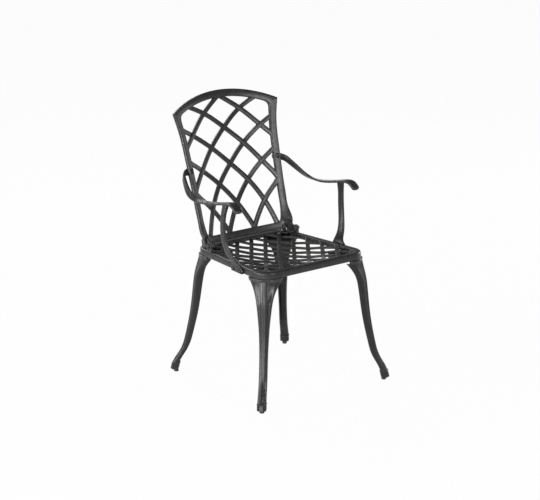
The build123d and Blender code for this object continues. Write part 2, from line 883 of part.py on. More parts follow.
def leg_bolt_planes(z):
    """Planes of the leg bolts, facing down at a height."""
    planes = []
    for name, (front, side) in corners.items():
        base = leg_plane(name)
        for step in (-0.5, 0.5):
            spot = (-leg_reach(front) - leg_bolt_inset, step * leg_bolt_spacing, z)
            planes.append(Plane(origin=base.from_local_coords(spot), x_dir=base.x_dir, z_dir=(0, 0, -1)))
    return planes


# Legs to the corner webs
with BuildPart() as leg_washers:
    for plane in leg_bolt_planes(collar_low):
        add(disc(plane, washer_diameter_small, washer_thickness, bore_small))
leg_washers.part.label = "leg_washers"
export_step(leg_washers.part, "parts/leg_washers.step")

with BuildPart() as leg_bolts:
    for plane in leg_bolt_planes(collar_low - washer_thickness):
        length = washer_thickness + 2 * collar_step + web_thickness
        add(bolt(plane, bolt_small, head_diameter_small, head_height_small, length))
leg_bolts.part.label = "leg_bolts"
export_step(leg_bolts.part, "parts/leg_bolts.step")
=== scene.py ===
"""Garden armchair in cast aluminium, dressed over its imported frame.

Every surface is worked out in millimetres on arrays and put into its mesh in metres.
The front is -Y, the sitter's left is +X and the floor is at zero height.
"""

import logging
from dataclasses import dataclass, field
from enum import Enum
from typing import Any, Union

import bpy
import numpy as np
from mathutils import Matrix


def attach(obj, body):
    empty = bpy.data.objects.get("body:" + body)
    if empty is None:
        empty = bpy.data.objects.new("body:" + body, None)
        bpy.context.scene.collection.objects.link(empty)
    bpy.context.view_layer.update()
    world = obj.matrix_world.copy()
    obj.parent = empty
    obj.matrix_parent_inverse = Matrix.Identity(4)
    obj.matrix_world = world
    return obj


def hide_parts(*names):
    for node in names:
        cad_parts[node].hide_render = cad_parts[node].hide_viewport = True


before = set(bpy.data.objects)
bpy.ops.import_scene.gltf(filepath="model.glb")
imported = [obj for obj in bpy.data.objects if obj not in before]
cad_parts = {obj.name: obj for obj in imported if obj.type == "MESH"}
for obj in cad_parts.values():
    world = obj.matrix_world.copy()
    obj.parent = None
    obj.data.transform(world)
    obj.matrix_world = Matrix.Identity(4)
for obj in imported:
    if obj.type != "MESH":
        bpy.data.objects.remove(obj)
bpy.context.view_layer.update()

log = logging.getLogger("garden_chair")
Array = np.ndarray
Number = Union[float, "Wire"]
Values = Union[float, np.ndarray]
Colour = tuple[float, float, float, float]
METRES = 0.001
SHARP = np.radians(42.0)
POLE = 0.05
EDGE, EDGE_FROM, EDGE_FULL = "edge", 90.0, 420.0
UP = np.array([0.0, 0.0, 1.0])
WHITE: Colour = (1.0, 1.0, 1.0, 1.0)


class Side(Enum):
    """Which half of the chair a piece belongs to, as the sign of X."""

    LEFT = 1
    RIGHT = -1


class Corner(Enum):
    """The four corners of the seat: front or rear, and the sign of X."""

    FRONT_LEFT = (True, 1)
    FRONT_RIGHT = (True, -1)
    REAR_LEFT = (False, 1)
    REAR_RIGHT = (False, -1)

    @property
    def label(self) -> str:
        """Name as the frame's nodes spell it."""
        return self.name.lower()


class Body(Enum):
    """Bodies of the frame that pieces ride on."""

    CHAIR = "chair"
    FRONT_LEFT = "front_left_glide"
    FRONT_RIGHT = "front_right_glide"
    REAR_LEFT = "rear_left_glide"
    REAR_RIGHT = "rear_right_glide"


@dataclass
class Skin:
    """One closed surface: points in millimetres, four-sided faces and flat end caps."""

    points: Array
    quads: Array
    caps: list[list[int]] = field(default_factory=list)

    def volume(self) -> float:
        """Signed volume from the origin, positive when the faces point outwards.

        Returns:
            Sum of the tetrahedra between the origin and the faces' triangles.
        """
        q = self.points[self.quads]
        total = np.einsum("ij,ij->", q[:, 0], np.cross(q[:, 1], q[:, 2]))
        total += np.einsum("ij,ij->", q[:, 0], np.cross(q[:, 2], q[:, 3]))
        for cap in self.caps:
            ring = self.points[cap]
            total += np.einsum("j,ij->", ring[0], np.cross(ring[1:-1], ring[2:]))
        return float(total) / 6.0

    def outward(self) -> "Skin":
        """Same surface with its faces turned to point outwards."""
        flipped = Skin(self.points, self.quads[:, ::-1], [cap[::-1] for cap in self.caps])
        return self if self.volume() >= 0.0 else flipped

    def mirrored(self) -> "Skin":
        """Mirror image across the chair's middle."""
        return Skin(self.points * (-1.0, 1.0, 1.0), self.quads, self.caps).outward()


@dataclass
class Axes:
    """A place in space: an origin and three unit directions."""

    origin: Array
    x: Array
    y: Array
    z: Array

    def point(self, a: Values, b: Values, c: Values) -> Array:
        """Points at distances along the three directions.

        Args:
            a: Distances along x.
            b: Distances along y.
            c: Distances along z.

        Returns:
            Points, with one more dimension than the distances.
        """
        a, b, c = np.broadcast_arrays(a, b, c)
        return self.origin + a[..., None] * self.x + b[..., None] * self.y + c[..., None] * self.z


def unit(vectors: Array) -> Array:
    """Vectors divided by their lengths."""
    return vectors / np.linalg.norm(vectors, axis=-1, keepdims=True)


def spline(at: Array, knots: Array, values: Array) -> Array:
    """Natural cubic spline: piecewise cubics with matching slopes and curvatures, straight at the ends.

    Args:
        at: Parameters to sample.
        knots: Rising parameters of the known values.
        values: Known values, one row per knot.

    Returns:
        Sampled values, one row per parameter.
    """
    count = len(knots)
    gap = np.diff(knots)
    rows = np.arange(1, count - 1)
    system = np.eye(count)
    system[rows, rows - 1] = gap[:-1]
    system[rows, rows] = 2.0 * (gap[:-1] + gap[1:])
    system[rows, rows + 1] = gap[1:]
    slope = np.diff(values, axis=0) / gap[:, None]
    right = np.zeros_like(values)
    right[1:-1] = 6.0 * np.diff(slope, axis=0)
    bend = np.linalg.solve(system, right)
    i = np.clip(np.searchsorted(knots, at) - 1, 0, count - 2)
    left = (at - knots[i])[:, None]
    over = (knots[i + 1] - at)[:, None]
    h = gap[i][:, None]
    cubic = (bend[i] * over**3 + bend[i + 1] * left**3) / (6.0 * h)
    line = (values[i] / h - bend[i] * h / 6.0) * over + (values[i + 1] / h - bend[i + 1] * h / 6.0) * left
    return cubic + line


def chords(points: Array) -> Array:
    """Running length of the straight runs between points."""
    return np.concatenate([[0.0], np.cumsum(np.linalg.norm(np.diff(points, axis=0), axis=1))])


def smooth_line(points: Array, count: int) -> Array:
    """Natural spline through points, sampled evenly along their chords."""
    run = chords(points)
    return spline(np.linspace(0.0, run[-1], count), run, points)


def ease(x: Array) -> Array:
    """Smooth step from 0 to 1: three x squared less two x cubed, held at both ends."""
    x = np.clip(x, 0.0, 1.0)
    return x * x * (3.0 - 2.0 * x)


def quarter(count: int) -> Array:
    """Angles of a quarter turn, both ends included."""
    return np.linspace(0.0, np.pi / 2, count)


def around(count: int) -> Array:
    """Angles of a full turn, evenly spaced."""
    return np.linspace(0.0, 2.0 * np.pi, count, endpoint=False)


def circle(radius: float, count: int) -> Array:
    """Closed circle about the origin: the radius times the cosine and the sine of each angle."""
    return radius * np.stack([np.cos(around(count)), np.sin(around(count))], axis=-1)


def hexagon(angle: Array, apothem: float) -> Array:
    """Radius of a hexagon: its apothem over the cosine of the angle from the nearest flat."""
    sector = np.pi / 3
    return apothem / np.cos((angle + sector / 2) % sector - sector / 2)


def rounded_section(width: Array, height: Array, radius: Array, steps: int = 5) -> Array:
    """Rounded rectangles: four corner points inset by the radius, each with a quarter circle about it.

    Args:
        width: Full widths, one per section.
        height: Full heights, one per section.
        radius: Corner radii, held under half of the smaller side.
        steps: Points on each quarter circle.

    Returns:
        Array of sections by points by two.
    """
    width, height, radius = np.broadcast_arrays(*(np.atleast_1d(v) for v in (width, height, radius)))
    radius = np.minimum(radius, 0.49 * np.minimum(width, height))[:, None]
    angle = (np.arange(4)[:, None] * (np.pi / 2) + quarter(steps)).ravel()
    along = np.repeat([1.0, -1.0, -1.0, 1.0], steps)
    across = np.repeat([1.0, 1.0, -1.0, -1.0], steps)
    a = (width[:, None] / 2 - radius) * along + radius * np.cos(angle)
    b = (height[:, None] / 2 - radius) * across + radius * np.sin(angle)
    return np.stack([a, b], axis=-1)


def grid_skin(rows: Array, ring_path: bool = False) -> Skin:
    """Closed surface over a grid whose rows are closed rings.

    The four-sided faces join each ring to the next. A path that comes back to its start joins the
    last ring to the first, and an open one gets a flat cap on both ends.

    Args:
        rows: Array of rings by points by three.
        ring_path: True where the rings follow each other round a closed path.

    Returns:
        The surface, with its faces outwards.
    """
    count, ring = rows.shape[:2]
    index = np.arange(count * ring).reshape(count, ring)
    after = np.roll(index, -1, axis=0) if ring_path else index[1:]
    here = index if ring_path else index[:-1]
    quads = np.stack([here, np.roll(here, -1, axis=1), np.roll(after, -1, axis=1), after], axis=-1)
    caps = [] if ring_path else [index[0][::-1].tolist(), index[-1].tolist()]
    return Skin(rows.reshape(-1, 3), quads.reshape(-1, 4), caps).outward()


def slab(outline: Array, low: float, high: float, radius: float, axes: Axes) -> Skin:
    """Plate with rounded rims: the outline carried along a quarter circle, a wall and a quarter circle.

    Args:
        outline: Closed plan line, points by two, anticlockwise.
        low: Lower face along the axes' z.
        high: Upper face along the axes' z.
        radius: Radius of the rounded rims.
        axes: Place of the plan line.

    Returns:
        The closed plate.
    """
    ahead = np.roll(outline, -1, axis=0) - np.roll(outline, 1, axis=0)
    inward = unit(np.stack([-ahead[:, 1], ahead[:, 0]], axis=-1))
    turn = quarter(5)
    inset = radius * (1.0 - np.sin(turn))
    lift = radius * (1.0 - np.cos(turn))
    inset = np.concatenate([inset, inset[::-1]])
    level = np.concatenate([low + lift, high - lift[::-1]])
    plan = outline[None] + inset[:, None, None] * inward[None]
    return grid_skin(axes.point(plan[..., 0], plan[..., 1], level[:, None]))


def turned(profile: Array, axes: Axes, points: int = 40, flats: Array | None = None, apothem: float = 0.0) -> Skin:
    """Body of revolution: a profile of radius and height carried round an axis.

    A row marked as flat follows a hexagon, or the profile's own radius where that is smaller.

    Args:
        profile: Rows of radius and height, from one end to the other.
        axes: Place of the axis, along z.
        points: Points round the axis.
        flats: True for each row that follows the hexagon.
        apothem: Distance of the hexagon's flats from the axis.

    Returns:
        The closed body.
    """
    angle = around(points)
    radius = np.repeat(profile[:, :1], points, axis=1)
    if flats is not None:
        radius = np.where(flats[:, None], np.minimum(radius, hexagon(angle, apothem)), radius)
    return grid_skin(axes.point(radius * np.cos(angle), radius * np.sin(angle), profile[:, 1:]))


def loop_smoothed(loop: Array, window: int, passes: int) -> Array:
    """Closed line with its corners rounded by a running mean.

    Args:
        loop: Points of the closed line, evenly spaced.
        window: Odd number of points in the mean.
        passes: How often the mean is taken.

    Returns:
        The rounded line, with as many points.
    """
    half = window // 2
    shifts = np.arange(-half, half + 1)
    index = (np.arange(len(loop))[:, None] + shifts) % len(loop)
    for _ in range(passes):
        loop = loop[index].mean(axis=1)
    return loop


def rounded_polygon(corners: Array, radius: float, arc: int, run: int) -> tuple[Array, Array]:
    """Closed line round a polygon with rounded corners, and its inward directions.

    Each corner is an arc between the tangent points, which lie the radius times the tangent of half the
    turn away from it. Each side is an even run between two arcs.

    Args:
        corners: Corner points, anticlockwise.
        radius: Radius of the corners.
        arc: Points on each arc.
        run: Points on each side, between its arcs.

    Returns:
        Points and inward unit directions, corner after corner.
    """
    into = unit(corners - np.roll(corners, 1, axis=0))
    away = np.roll(into, -1, axis=0)
    cross = into[:, 0] * away[:, 1] - into[:, 1] * away[:, 0]
    turn = np.arctan2(cross, np.einsum("ij,ij->i", into, away))
    start = corners - into * (radius * np.tan(turn / 2))[:, None]
    left = np.stack([-into[:, 1], into[:, 0]], axis=-1)
    centre = start + left * radius
    angle = turn[:, None] * np.linspace(0.0, 1.0, arc)
    spin = into[:, None] * np.sin(angle)[..., None] - left[:, None] * np.cos(angle)[..., None]
    arcs = centre[:, None] + radius * spin
    share = np.linspace(0.0, 1.0, run + 2)[1:-1, None]
    finish = np.roll(arcs[:, 0], -1, axis=0)
    sides = arcs[:, -1][:, None] * (1.0 - share) + finish[:, None] * share
    side_in = np.repeat(-spin[:, -1][:, None], run, axis=1)
    points = np.concatenate([arcs, sides], axis=1).reshape(-1, 2)
    inward = np.concatenate([-spin, side_in], axis=1).reshape(-1, 2)
    return points, inward


class Wire:
    """One socket of a node tree, with arithmetic that adds Math nodes."""

    def __init__(self, tree: bpy.types.NodeTree, socket: bpy.types.NodeSocket) -> None:
        """Keeps the tree and the socket."""
        self.tree = tree
        self.socket = socket

    def _math(self, operation: str, first: Number, second: Number) -> "Wire":
        """Math node on two values.

        Args:
            operation: Blender's name of the operation.
            first: Number or socket on the first input.
            second: Number or socket on the second input.

        Returns:
            The node's result.
        """
        node = self.tree.nodes.new("ShaderNodeMath")
        node.operation = operation
        for slot, value in zip(node.inputs, (first, second)):
            if isinstance(value, Wire):
                self.tree.links.new(value.socket, slot)
            else:
                slot.default_value = value
        return Wire(self.tree, node.outputs[0])

    def __add__(self, other: Number) -> "Wire":
        """Sum of two values."""
        return self._math("ADD", self, other)

    __radd__ = __add__

    def __mul__(self, other: Number) -> "Wire":
        """Product of two values."""
        return self._math("MULTIPLY", self, other)

    __rmul__ = __mul__

    def __sub__(self, other: Number) -> "Wire":
        """Difference of two values."""
        return self._math("SUBTRACT", self, other)

    def __rsub__(self, other: Number) -> "Wire":
        """Difference with the socket on the right."""
        return self._math("SUBTRACT", other, self)

    def clipped(self) -> "Wire":
        """Value held between 0 and 1."""
        return self._math("MAXIMUM", self._math("MINIMUM", self, 1.0), 0.0)


class Bench:
    """Node tree of a material or a world, with the few calls that the finishes need."""

    def __init__(
        self, holder: bpy.types.Material | bpy.types.World, output: str = "ShaderNodeOutputMaterial"
    ) -> None:
        """Empties the holder's tree and adds its output node.

        Args:
            holder: Material or world.
            output: Blender's type of the output node.
        """
        holder.use_nodes = True
        self.tree = holder.node_tree
        self.tree.nodes.clear()
        self.output = self.tree.nodes.new(output)

    def node(self, kind: str, settings: dict[str, Any], sockets: dict[Any, Any], result: Any = 0) -> Wire:
        """Any node: its settings first, then the values or links of its sockets.

        Args:
            kind: Blender's type of the node.
            settings: Properties of the node.
            sockets: Values or wires by socket name or number.
            result: Name or number of the output.

        Returns:
            The chosen output.
        """
        node = self.tree.nodes.new(kind)
        for key, value in settings.items():
            setattr(node, key, value)
        for key, value in sockets.items():
            if isinstance(value, Wire):
                self.tree.links.new(value.socket, node.inputs[key])
            else:
                node.inputs[key].default_value = value
        return Wire(self.tree, node.outputs[result])

    def place(self, kind: str = "Object") -> Wire:
        """Coordinates of a kind, the piece's own unless another is named."""
        return self.node("ShaderNodeTexCoord", {}, {}, kind)

    def height(self, kind: str = "Object") -> Wire:
        """Third of the coordinates of a kind."""
        return self.node("ShaderNodeSeparateXYZ", {}, {0: self.place(kind)}, 2)

    def edge(self) -> Wire:
        """The mesh's own measure of its outward edges."""
        return self.node("ShaderNodeAttribute", {"attribute_name": EDGE}, {}, "Fac")

    def noise(self, scale: float, detail: float, rough: float = 0.5) -> Wire:
        """Noise on the piece's own coordinates.

        Args:
            scale: Features per metre.
            detail: Octaves.
            rough: Share that each octave adds.

        Returns:
            The noise's value.
        """
        sockets = {"Vector": self.place(), "Scale": scale, "Detail": detail, "Roughness": rough}
        return self.node("ShaderNodeTexNoise", {"noise_dimensions": "3D"}, sockets)

    def blend(self, share: Wire, first: Colour | Wire, second: Colour | Wire) -> Wire:
        """Mix of two colours."""
        return self.node("ShaderNodeMix", {"data_type": "RGBA"}, {0: share, 6: first, 7: second}, 2)

    def bump(self, height: Wire, strength: float, distance: float, normal: Wire | None = None) -> Wire:
        """Bump from a height, over another bump where one is given.

        Args:
            height: Height from 0 to 1.
            strength: Strength of the bump.
            distance: Height of a full step in metres.
            normal: Bump to stand on.

        Returns:
            The bent normal.
        """
        sockets: dict[str, Any] = {"Height": height, "Strength": strength, "Distance": distance}
        if normal is not None:
            sockets["Normal"] = normal
        return self.node("ShaderNodeBump", {}, sockets)

    def finish(self, shader: Wire) -> None:
        """Puts the shader on the output."""
        self.tree.links.new(shader.socket, self.output.inputs["Surface"])


@dataclass(frozen=True)
class Finish:
    """One finish, as a principled shader whose sockets each finish works out for itself."""

    name: str

    def sockets(self, bench: Bench) -> dict[str, Any]:
        """Values and wires by socket name."""
        raise NotImplementedError

    def material(self) -> bpy.types.Material:
        """Material with this finish.

        Returns:
            The new material.
        """
        material = bpy.data.materials.new(self.name)
        bench = Bench(material)
        bench.finish(bench.node("ShaderNodeBsdfPrincipled", {}, self.sockets(bench)))
        return material


@dataclass(frozen=True)
class PowderCoat(Finish):
    """Baked powder coat on a casting: fine orange peel, soft mottling, edges lightened partly by wear and partly as a
    painted highlight.
    """

    name: str = "powder_coat"
    deep: Colour = (0.0062, 0.0060, 0.0060, 1.0)
    pale: Colour = (0.0130, 0.0126, 0.0125, 1.0)
    # Lighter edge colour: partly edge wear, partly a painted highlight along rounded edges.
    worn_edge_highlight: Colour = (0.050, 0.048, 0.047, 1.0)
    gloss: float = 0.2
    shine: float = 0.2
    mottle_scale: float = 48.0
    patch_scale: float = 90.0
    wave_scale: float = 140.0
    peel_scale: float = 1500.0
    speck_scale: float = 2600.0

    def sockets(self, bench: Bench) -> dict[str, Any]:
        """Sockets of the coat.

        Mottling is noise of some 20 mm between two colours, with a fine speckle on it. Edges take a lighter colour by
        the mesh's own edge attribute, broken by noise:
        partly edge wear, partly a painted highlight along the rounded edges. Roughness follows both, and two
        bumps make the orange peel and the casting's waviness.

        Args:
            bench: Bench of the material.

        Returns:
            Values and wires by socket name.
        """
        mottle = bench.noise(self.mottle_scale, 3.0)
        speck = bench.noise(self.speck_scale, 1.0)
        peel = bench.noise(self.peel_scale, 2.0, 0.6)
        # Edge mask for the lighter edge colour, a painted highlight as much as wear.
        worn_edge_highlight_mask = (bench.edge() * (bench.noise(self.patch_scale, 4.0) * 1.6 - 0.25)).clipped()
        ground = bench.blend((mottle * 0.9 + speck * 0.2 - 0.05).clipped(), self.deep, self.pale)
        wave = bench.bump(bench.noise(self.wave_scale, 2.0), 0.03, 0.0005)
        return {
            # Edges lightened towards the lighter colour: wear plus painted highlight.
            "Base Color": bench.blend(worn_edge_highlight_mask * 0.55, ground, self.worn_edge_highlight),
            "Roughness": self.gloss + mottle * 0.10 + peel * 0.08 - worn_edge_highlight_mask * 0.08,
            "Normal": bench.bump(peel, 0.03, 0.0002, wave),
            "IOR": 1.5,
            "Specular IOR Level": self.shine,
        }


@dataclass(frozen=True)
class BlackedSteel(Finish):
    """Blackened steel fastener: dark metal with fine turning marks and brighter rubbed edges."""

    name: str = "blacked_steel"
    ground: Colour = (0.012, 0.012, 0.0125, 1.0)
    worn: Colour = (0.060, 0.060, 0.060, 1.0)
    metal: float = 0.85
    patch_scale: float = 420.0
    grain_scale: float = 3200.0

    def sockets(self, bench: Bench) -> dict[str, Any]:
        """Sockets of the steel: noise and the edges mix dark and worn metal, with a fine bump.

        Args:
            bench: Bench of the material.

        Returns:
            Values and wires by socket name.
        """
        patch = bench.noise(self.patch_scale, 4.0, 0.6)
        edge = bench.edge()
        wear = (edge * 0.5 + patch * 0.9 - 0.45).clipped()
        return {
            "Base Color": bench.blend(wear, self.ground, self.worn),
            "Metallic": self.metal,
            "Roughness": 0.36 + patch * 0.22 - edge * 0.06,
            "Normal": bench.bump(bench.noise(self.grain_scale, 2.0), 0.25, 0.0001),
        }


@dataclass(frozen=True)
class GlidePlastic(Finish):
    """Moulded black plastic of the glides: fine grain, scuffed near the floor."""

    name: str = "glide_plastic"
    ground: Colour = (0.018, 0.018, 0.019, 1.0)
    scuffed: Colour = (0.036, 0.035, 0.034, 1.0)
    shine: float = 0.2
    scuffs_per_metre: float = 160.0
    scratch_scale: float = 700.0
    grain_scale: float = 2400.0

    def sockets(self, bench: Bench) -> dict[str, Any]:
        """Sockets of the plastic: scuffs rise towards the floor and are broken by noise.

        Args:
            bench: Bench of the material.

        Returns:
            Values and wires by socket name.
        """
        scratch = bench.noise(self.scratch_scale, 5.0, 0.65)
        grain = bench.noise(self.grain_scale, 2.0)
        low = (1.0 - bench.height() * self.scuffs_per_metre).clipped()
        scuff = (low * (scratch * 2.2 - 0.6)).clipped()
        return {
            "Base Color": bench.blend(scuff, self.ground, self.scuffed),
            "Roughness": 0.42 + scuff * 0.3 + grain * 0.08,
            "Normal": bench.bump(grain, 0.3, 0.0001),
            "Specular IOR Level": self.shine,
        }


@dataclass(frozen=True)
class InsertBrass(Finish):
    """Tarnished brass of the threaded inserts, darker in patches."""

    name: str = "insert_brass"
    bright: Colour = (0.080, 0.066, 0.040, 1.0)
    dull: Colour = (0.030, 0.026, 0.018, 1.0)
    patch_scale: float = 300.0
    mark_scale: float = 2800.0

    def sockets(self, bench: Bench) -> dict[str, Any]:
        """Sockets of the brass: patches of dull metal, with fine turning marks.

        Args:
            bench: Bench of the material.

        Returns:
            Values and wires by socket name.
        """
        patch = bench.noise(self.patch_scale, 4.0, 0.6)
        return {
            "Base Color": bench.blend((patch * 1.8 - 0.4).clipped(), self.bright, self.dull),
            "Metallic": 1.0,
            "Roughness": 0.28 + patch * 0.3,
            "Normal": bench.bump(bench.noise(self.mark_scale, 2.0), 0.2, 0.0001),
        }


@dataclass
class Finishes:
    """Materials of the chair, made once and shared."""

    coat: bpy.types.Material
    steel: bpy.types.Material
    plastic: bpy.types.Material
    brass: bpy.types.Material

    @classmethod
    def made(cls) -> "Finishes":
        """All four finishes."""
        return cls(*(finish().material() for finish in (PowderCoat, BlackedSteel, GlidePlastic, InsertBrass)))


def new_object(name: str, data: bpy.types.ID) -> bpy.types.Object:
    """New object in the scene.

    Args:
        name: Name of the object.
        data: Its mesh, lamp or camera.

    Returns:
        The linked object.
    """
    item = bpy.data.objects.new(name, data)
    bpy.context.scene.collection.objects.link(item)
    return item


def read(items: Any, key: str, width: int = 1, kind: type = float) -> Array:
    """One property of all the points, edges, faces or corners of a mesh.

    Args:
        items: The mesh's collection.
        key: Name of the property.
        width: Numbers per item.
        kind: Type of the numbers.

    Returns:
        Rows of numbers, or a plain list of them where each item has one.
    """
    values = np.empty(len(items) * width, dtype=kind)
    items.foreach_get(key, values)
    return values.reshape(-1, width) if width > 1 else values


def new_mesh(name: str, points: Array, faces: list[list[int]]) -> bpy.types.Mesh:
    """Mesh with smooth shading up to sharp edges.

    Args:
        name: Name of the mesh.
        points: Points in metres.
        faces: Numbers of each face's points.

    Returns:
        The new mesh.
    """
    mesh = bpy.data.meshes.new(name)
    mesh.from_pydata(points.tolist(), [], faces)
    mesh.update()
    mesh.shade_smooth()
    mesh.set_sharp_from_angle(angle=SHARP)
    return mesh


def mesh_of(name: str, skins: list[Skin]) -> bpy.types.Mesh:
    """One mesh of several closed surfaces, in metres.

    Args:
        name: Name of the mesh.
        skins: The surfaces.

    Returns:
        The new mesh.
    """
    starts = np.cumsum([0] + [len(skin.points) for skin in skins[:-1]])
    faces: list[list[int]] = []
    for start, skin in zip(starts, skins):
        faces += (skin.quads + start).tolist()
        faces += [(np.array(cap) + start).tolist() for cap in skin.caps]
    return new_mesh(name, np.concatenate([skin.points for skin in skins]) * METRES, faces)


def mark_edges(mesh: bpy.types.Mesh) -> None:
    """Point attribute of how sharply the surface turns outwards, from 0 to 1.

    For each mesh edge it is the difference of the two normals along the edge over its squared length,
    which is one over the radius. Each point keeps the largest of its edges.

    Args:
        mesh: Mesh to mark.
    """
    ends = read(mesh.edges, "vertices", 2, int)
    run = np.subtract(*read(mesh.vertices, "co", 3)[ends.T])
    bend = np.subtract(*read(mesh.vertices, "normal", 3)[ends.T])
    turn = np.einsum("ij,ij->i", run, bend) / np.maximum(np.einsum("ij,ij->i", run, run), 1e-10)
    sharpest = np.zeros(len(mesh.vertices))
    np.maximum.at(sharpest, ends, turn[:, None])
    level = np.clip((sharpest - EDGE_FROM) / (EDGE_FULL - EDGE_FROM), 0.0, 1.0)
    mesh.attributes.new(EDGE, "FLOAT", "POINT").data.foreach_set("value", level.astype(np.float32))


def place_piece(
    mesh: bpy.types.Mesh,
    material: bpy.types.Material,
    nodes: list[str],
    body: Body = Body.CHAIR,
) -> None:
    """Puts a finished mesh into the scene as a piece of the chair.

    Args:
        mesh: Mesh in its place, in metres.
        material: Its finish.
        nodes: Nodes of the frame that it stands for.
        body: Body that it rides on.
    """
    mark_edges(mesh)
    mesh.materials.append(material)
    piece = new_object(mesh.name, mesh)
    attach(piece, body.value)
    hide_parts(*nodes)
    log.info("%s: %d faces, rides on %s", piece.name, len(mesh.polygons), body.value)


def cut_out(blank: bpy.types.Mesh, cutters: list[Skin]) -> bpy.types.Mesh:
    """Mesh with closed surfaces taken out of it.

    Args:
        blank: Closed mesh to cut, which is removed.
        cutters: Surfaces of the hollows.

    Returns:
        The cut mesh.
    """
    work, tool = (new_object(mesh.name, mesh) for mesh in (blank, mesh_of("tool", cutters)))
    cut = work.modifiers.new("cut", "BOOLEAN")
    cut.operation, cut.solver, cut.object = "DIFFERENCE", "EXACT", tool
    bpy.context.view_layer.update()
    result = bpy.data.meshes.new_from_object(work.evaluated_get(bpy.context.evaluated_depsgraph_get()))
    for item in (work, tool):
        used = item.data
        bpy.data.objects.remove(item)
        bpy.data.meshes.remove(used)
    return result


def joined(name: str, meshes: list[bpy.types.Mesh]) -> bpy.types.Mesh:
    """One mesh of several, read back as arrays.

    Args:
        name: Name of the new mesh.
        meshes: Meshes to join, which are removed.

    Returns:
        The new mesh.
    """
    starts = np.cumsum([0] + [len(mesh.vertices) for mesh in meshes[:-1]])
    points = np.concatenate([read(mesh.vertices, "co", 3) for mesh in meshes])
    faces: list[list[int]] = []
    for start, mesh in zip(starts, meshes):
        corners = read(mesh.loops, "vertex_index", kind=int) + start
        first = read(mesh.polygons, "loop_start", kind=int)
        faces += [face.tolist() for face in np.split(corners, first[1:])]
        bpy.data.meshes.remove(mesh)
    return new_mesh(name, points, faces)


@dataclass
class SeatPlan:
    """Plan of the seat that the other castings are set out from."""

    height: float = 435.0
    front_y: float = -233.65
    depth: float = 407.0
    front_width: float = 440.0
    rear_width: float = 362.0
    corner_radius: float = 55.0
    front_reach: float = 79.0
    rear_reach: float = 86.0

    @property
    def rear_y(self) -> float:
        """Rear edge."""
        return self.front_y + self.depth

    @property
    def taper(self) -> float:
        """Change of half width per millimetre of depth."""
        return (self.rear_width - self.front_width) / 2 / self.depth

    def side_x(self, y: Values) -> Values:
        """Half width at a depth."""
        return self.front_width / 2 + self.taper * (y - self.front_y)

    def outline(self, front: float, side: float, rear: float) -> Array:
        """Four corner points of the plan, inset from its edges.

        Args:
            front: Inset of the front edge.
            side: Inset of the sides, square to them.
            rear: Inset of the rear edge.

        Returns:
            Corners, anticlockwise from the front right.
        """
        low = self.front_y + front
        high = self.rear_y - rear
        slant = side * np.hypot(1.0, self.taper)
        near = self.side_x(low) - slant
        far = self.side_x(high) - slant
        return np.array([(-near, low), (near, low), (far, high), (-far, high)])

    def corner_centre(self, corner: Corner) -> Array:
        """Centre of a corner's rounding.

        Args:
            corner: Which corner.

        Returns:
            Point of the plan.
        """
        front, side = corner.value
        y = self.front_y + self.corner_radius if front else self.rear_y - self.corner_radius
        x = self.side_x(y) - self.corner_radius * np.hypot(1.0, self.taper)
        return np.array([side * x, y])

    def leg_axes(self, corner: Corner) -> Axes:
        """Place of a leg: its glide on the floor, x along the outward diagonal.

        Args:
            corner: The leg's corner.

        Returns:
            Axes with z upwards.
        """
        front, side = corner.value
        out = np.array([side, -1.0 if front else 1.0]) * np.sqrt(0.5)
        foot = self.corner_centre(corner) + out * (self.corner_radius + self.reach(corner))
        x = np.append(out, 0.0)
        return Axes(np.append(foot, 0.0), x, np.cross(UP, x), UP)

    def reach(self, corner: Corner) -> float:
        """How far a glide stands out from its corner."""
        return self.front_reach if corner.value[0] else self.rear_reach

    def side_axes(self, side: Side, behind: float, out: float, z: float) -> Axes:
        """Place on a side of the seat: x rearwards along it, z outwards.

        Args:
            side: Which side.
            behind: Distance behind the front edge.
            out: Distance out from the side.
            z: Height above the floor.

        Returns:
            The axes.
        """
        y = self.front_y + behind
        along = unit(np.array([side.value * self.taper, 1.0, 0.0]))
        normal = unit(np.array([side.value, -self.taper, 0.0]))
        origin = np.array([side.value * self.side_x(y), y, z]) + normal * out
        return Axes(origin, along, np.cross(normal, along), normal)


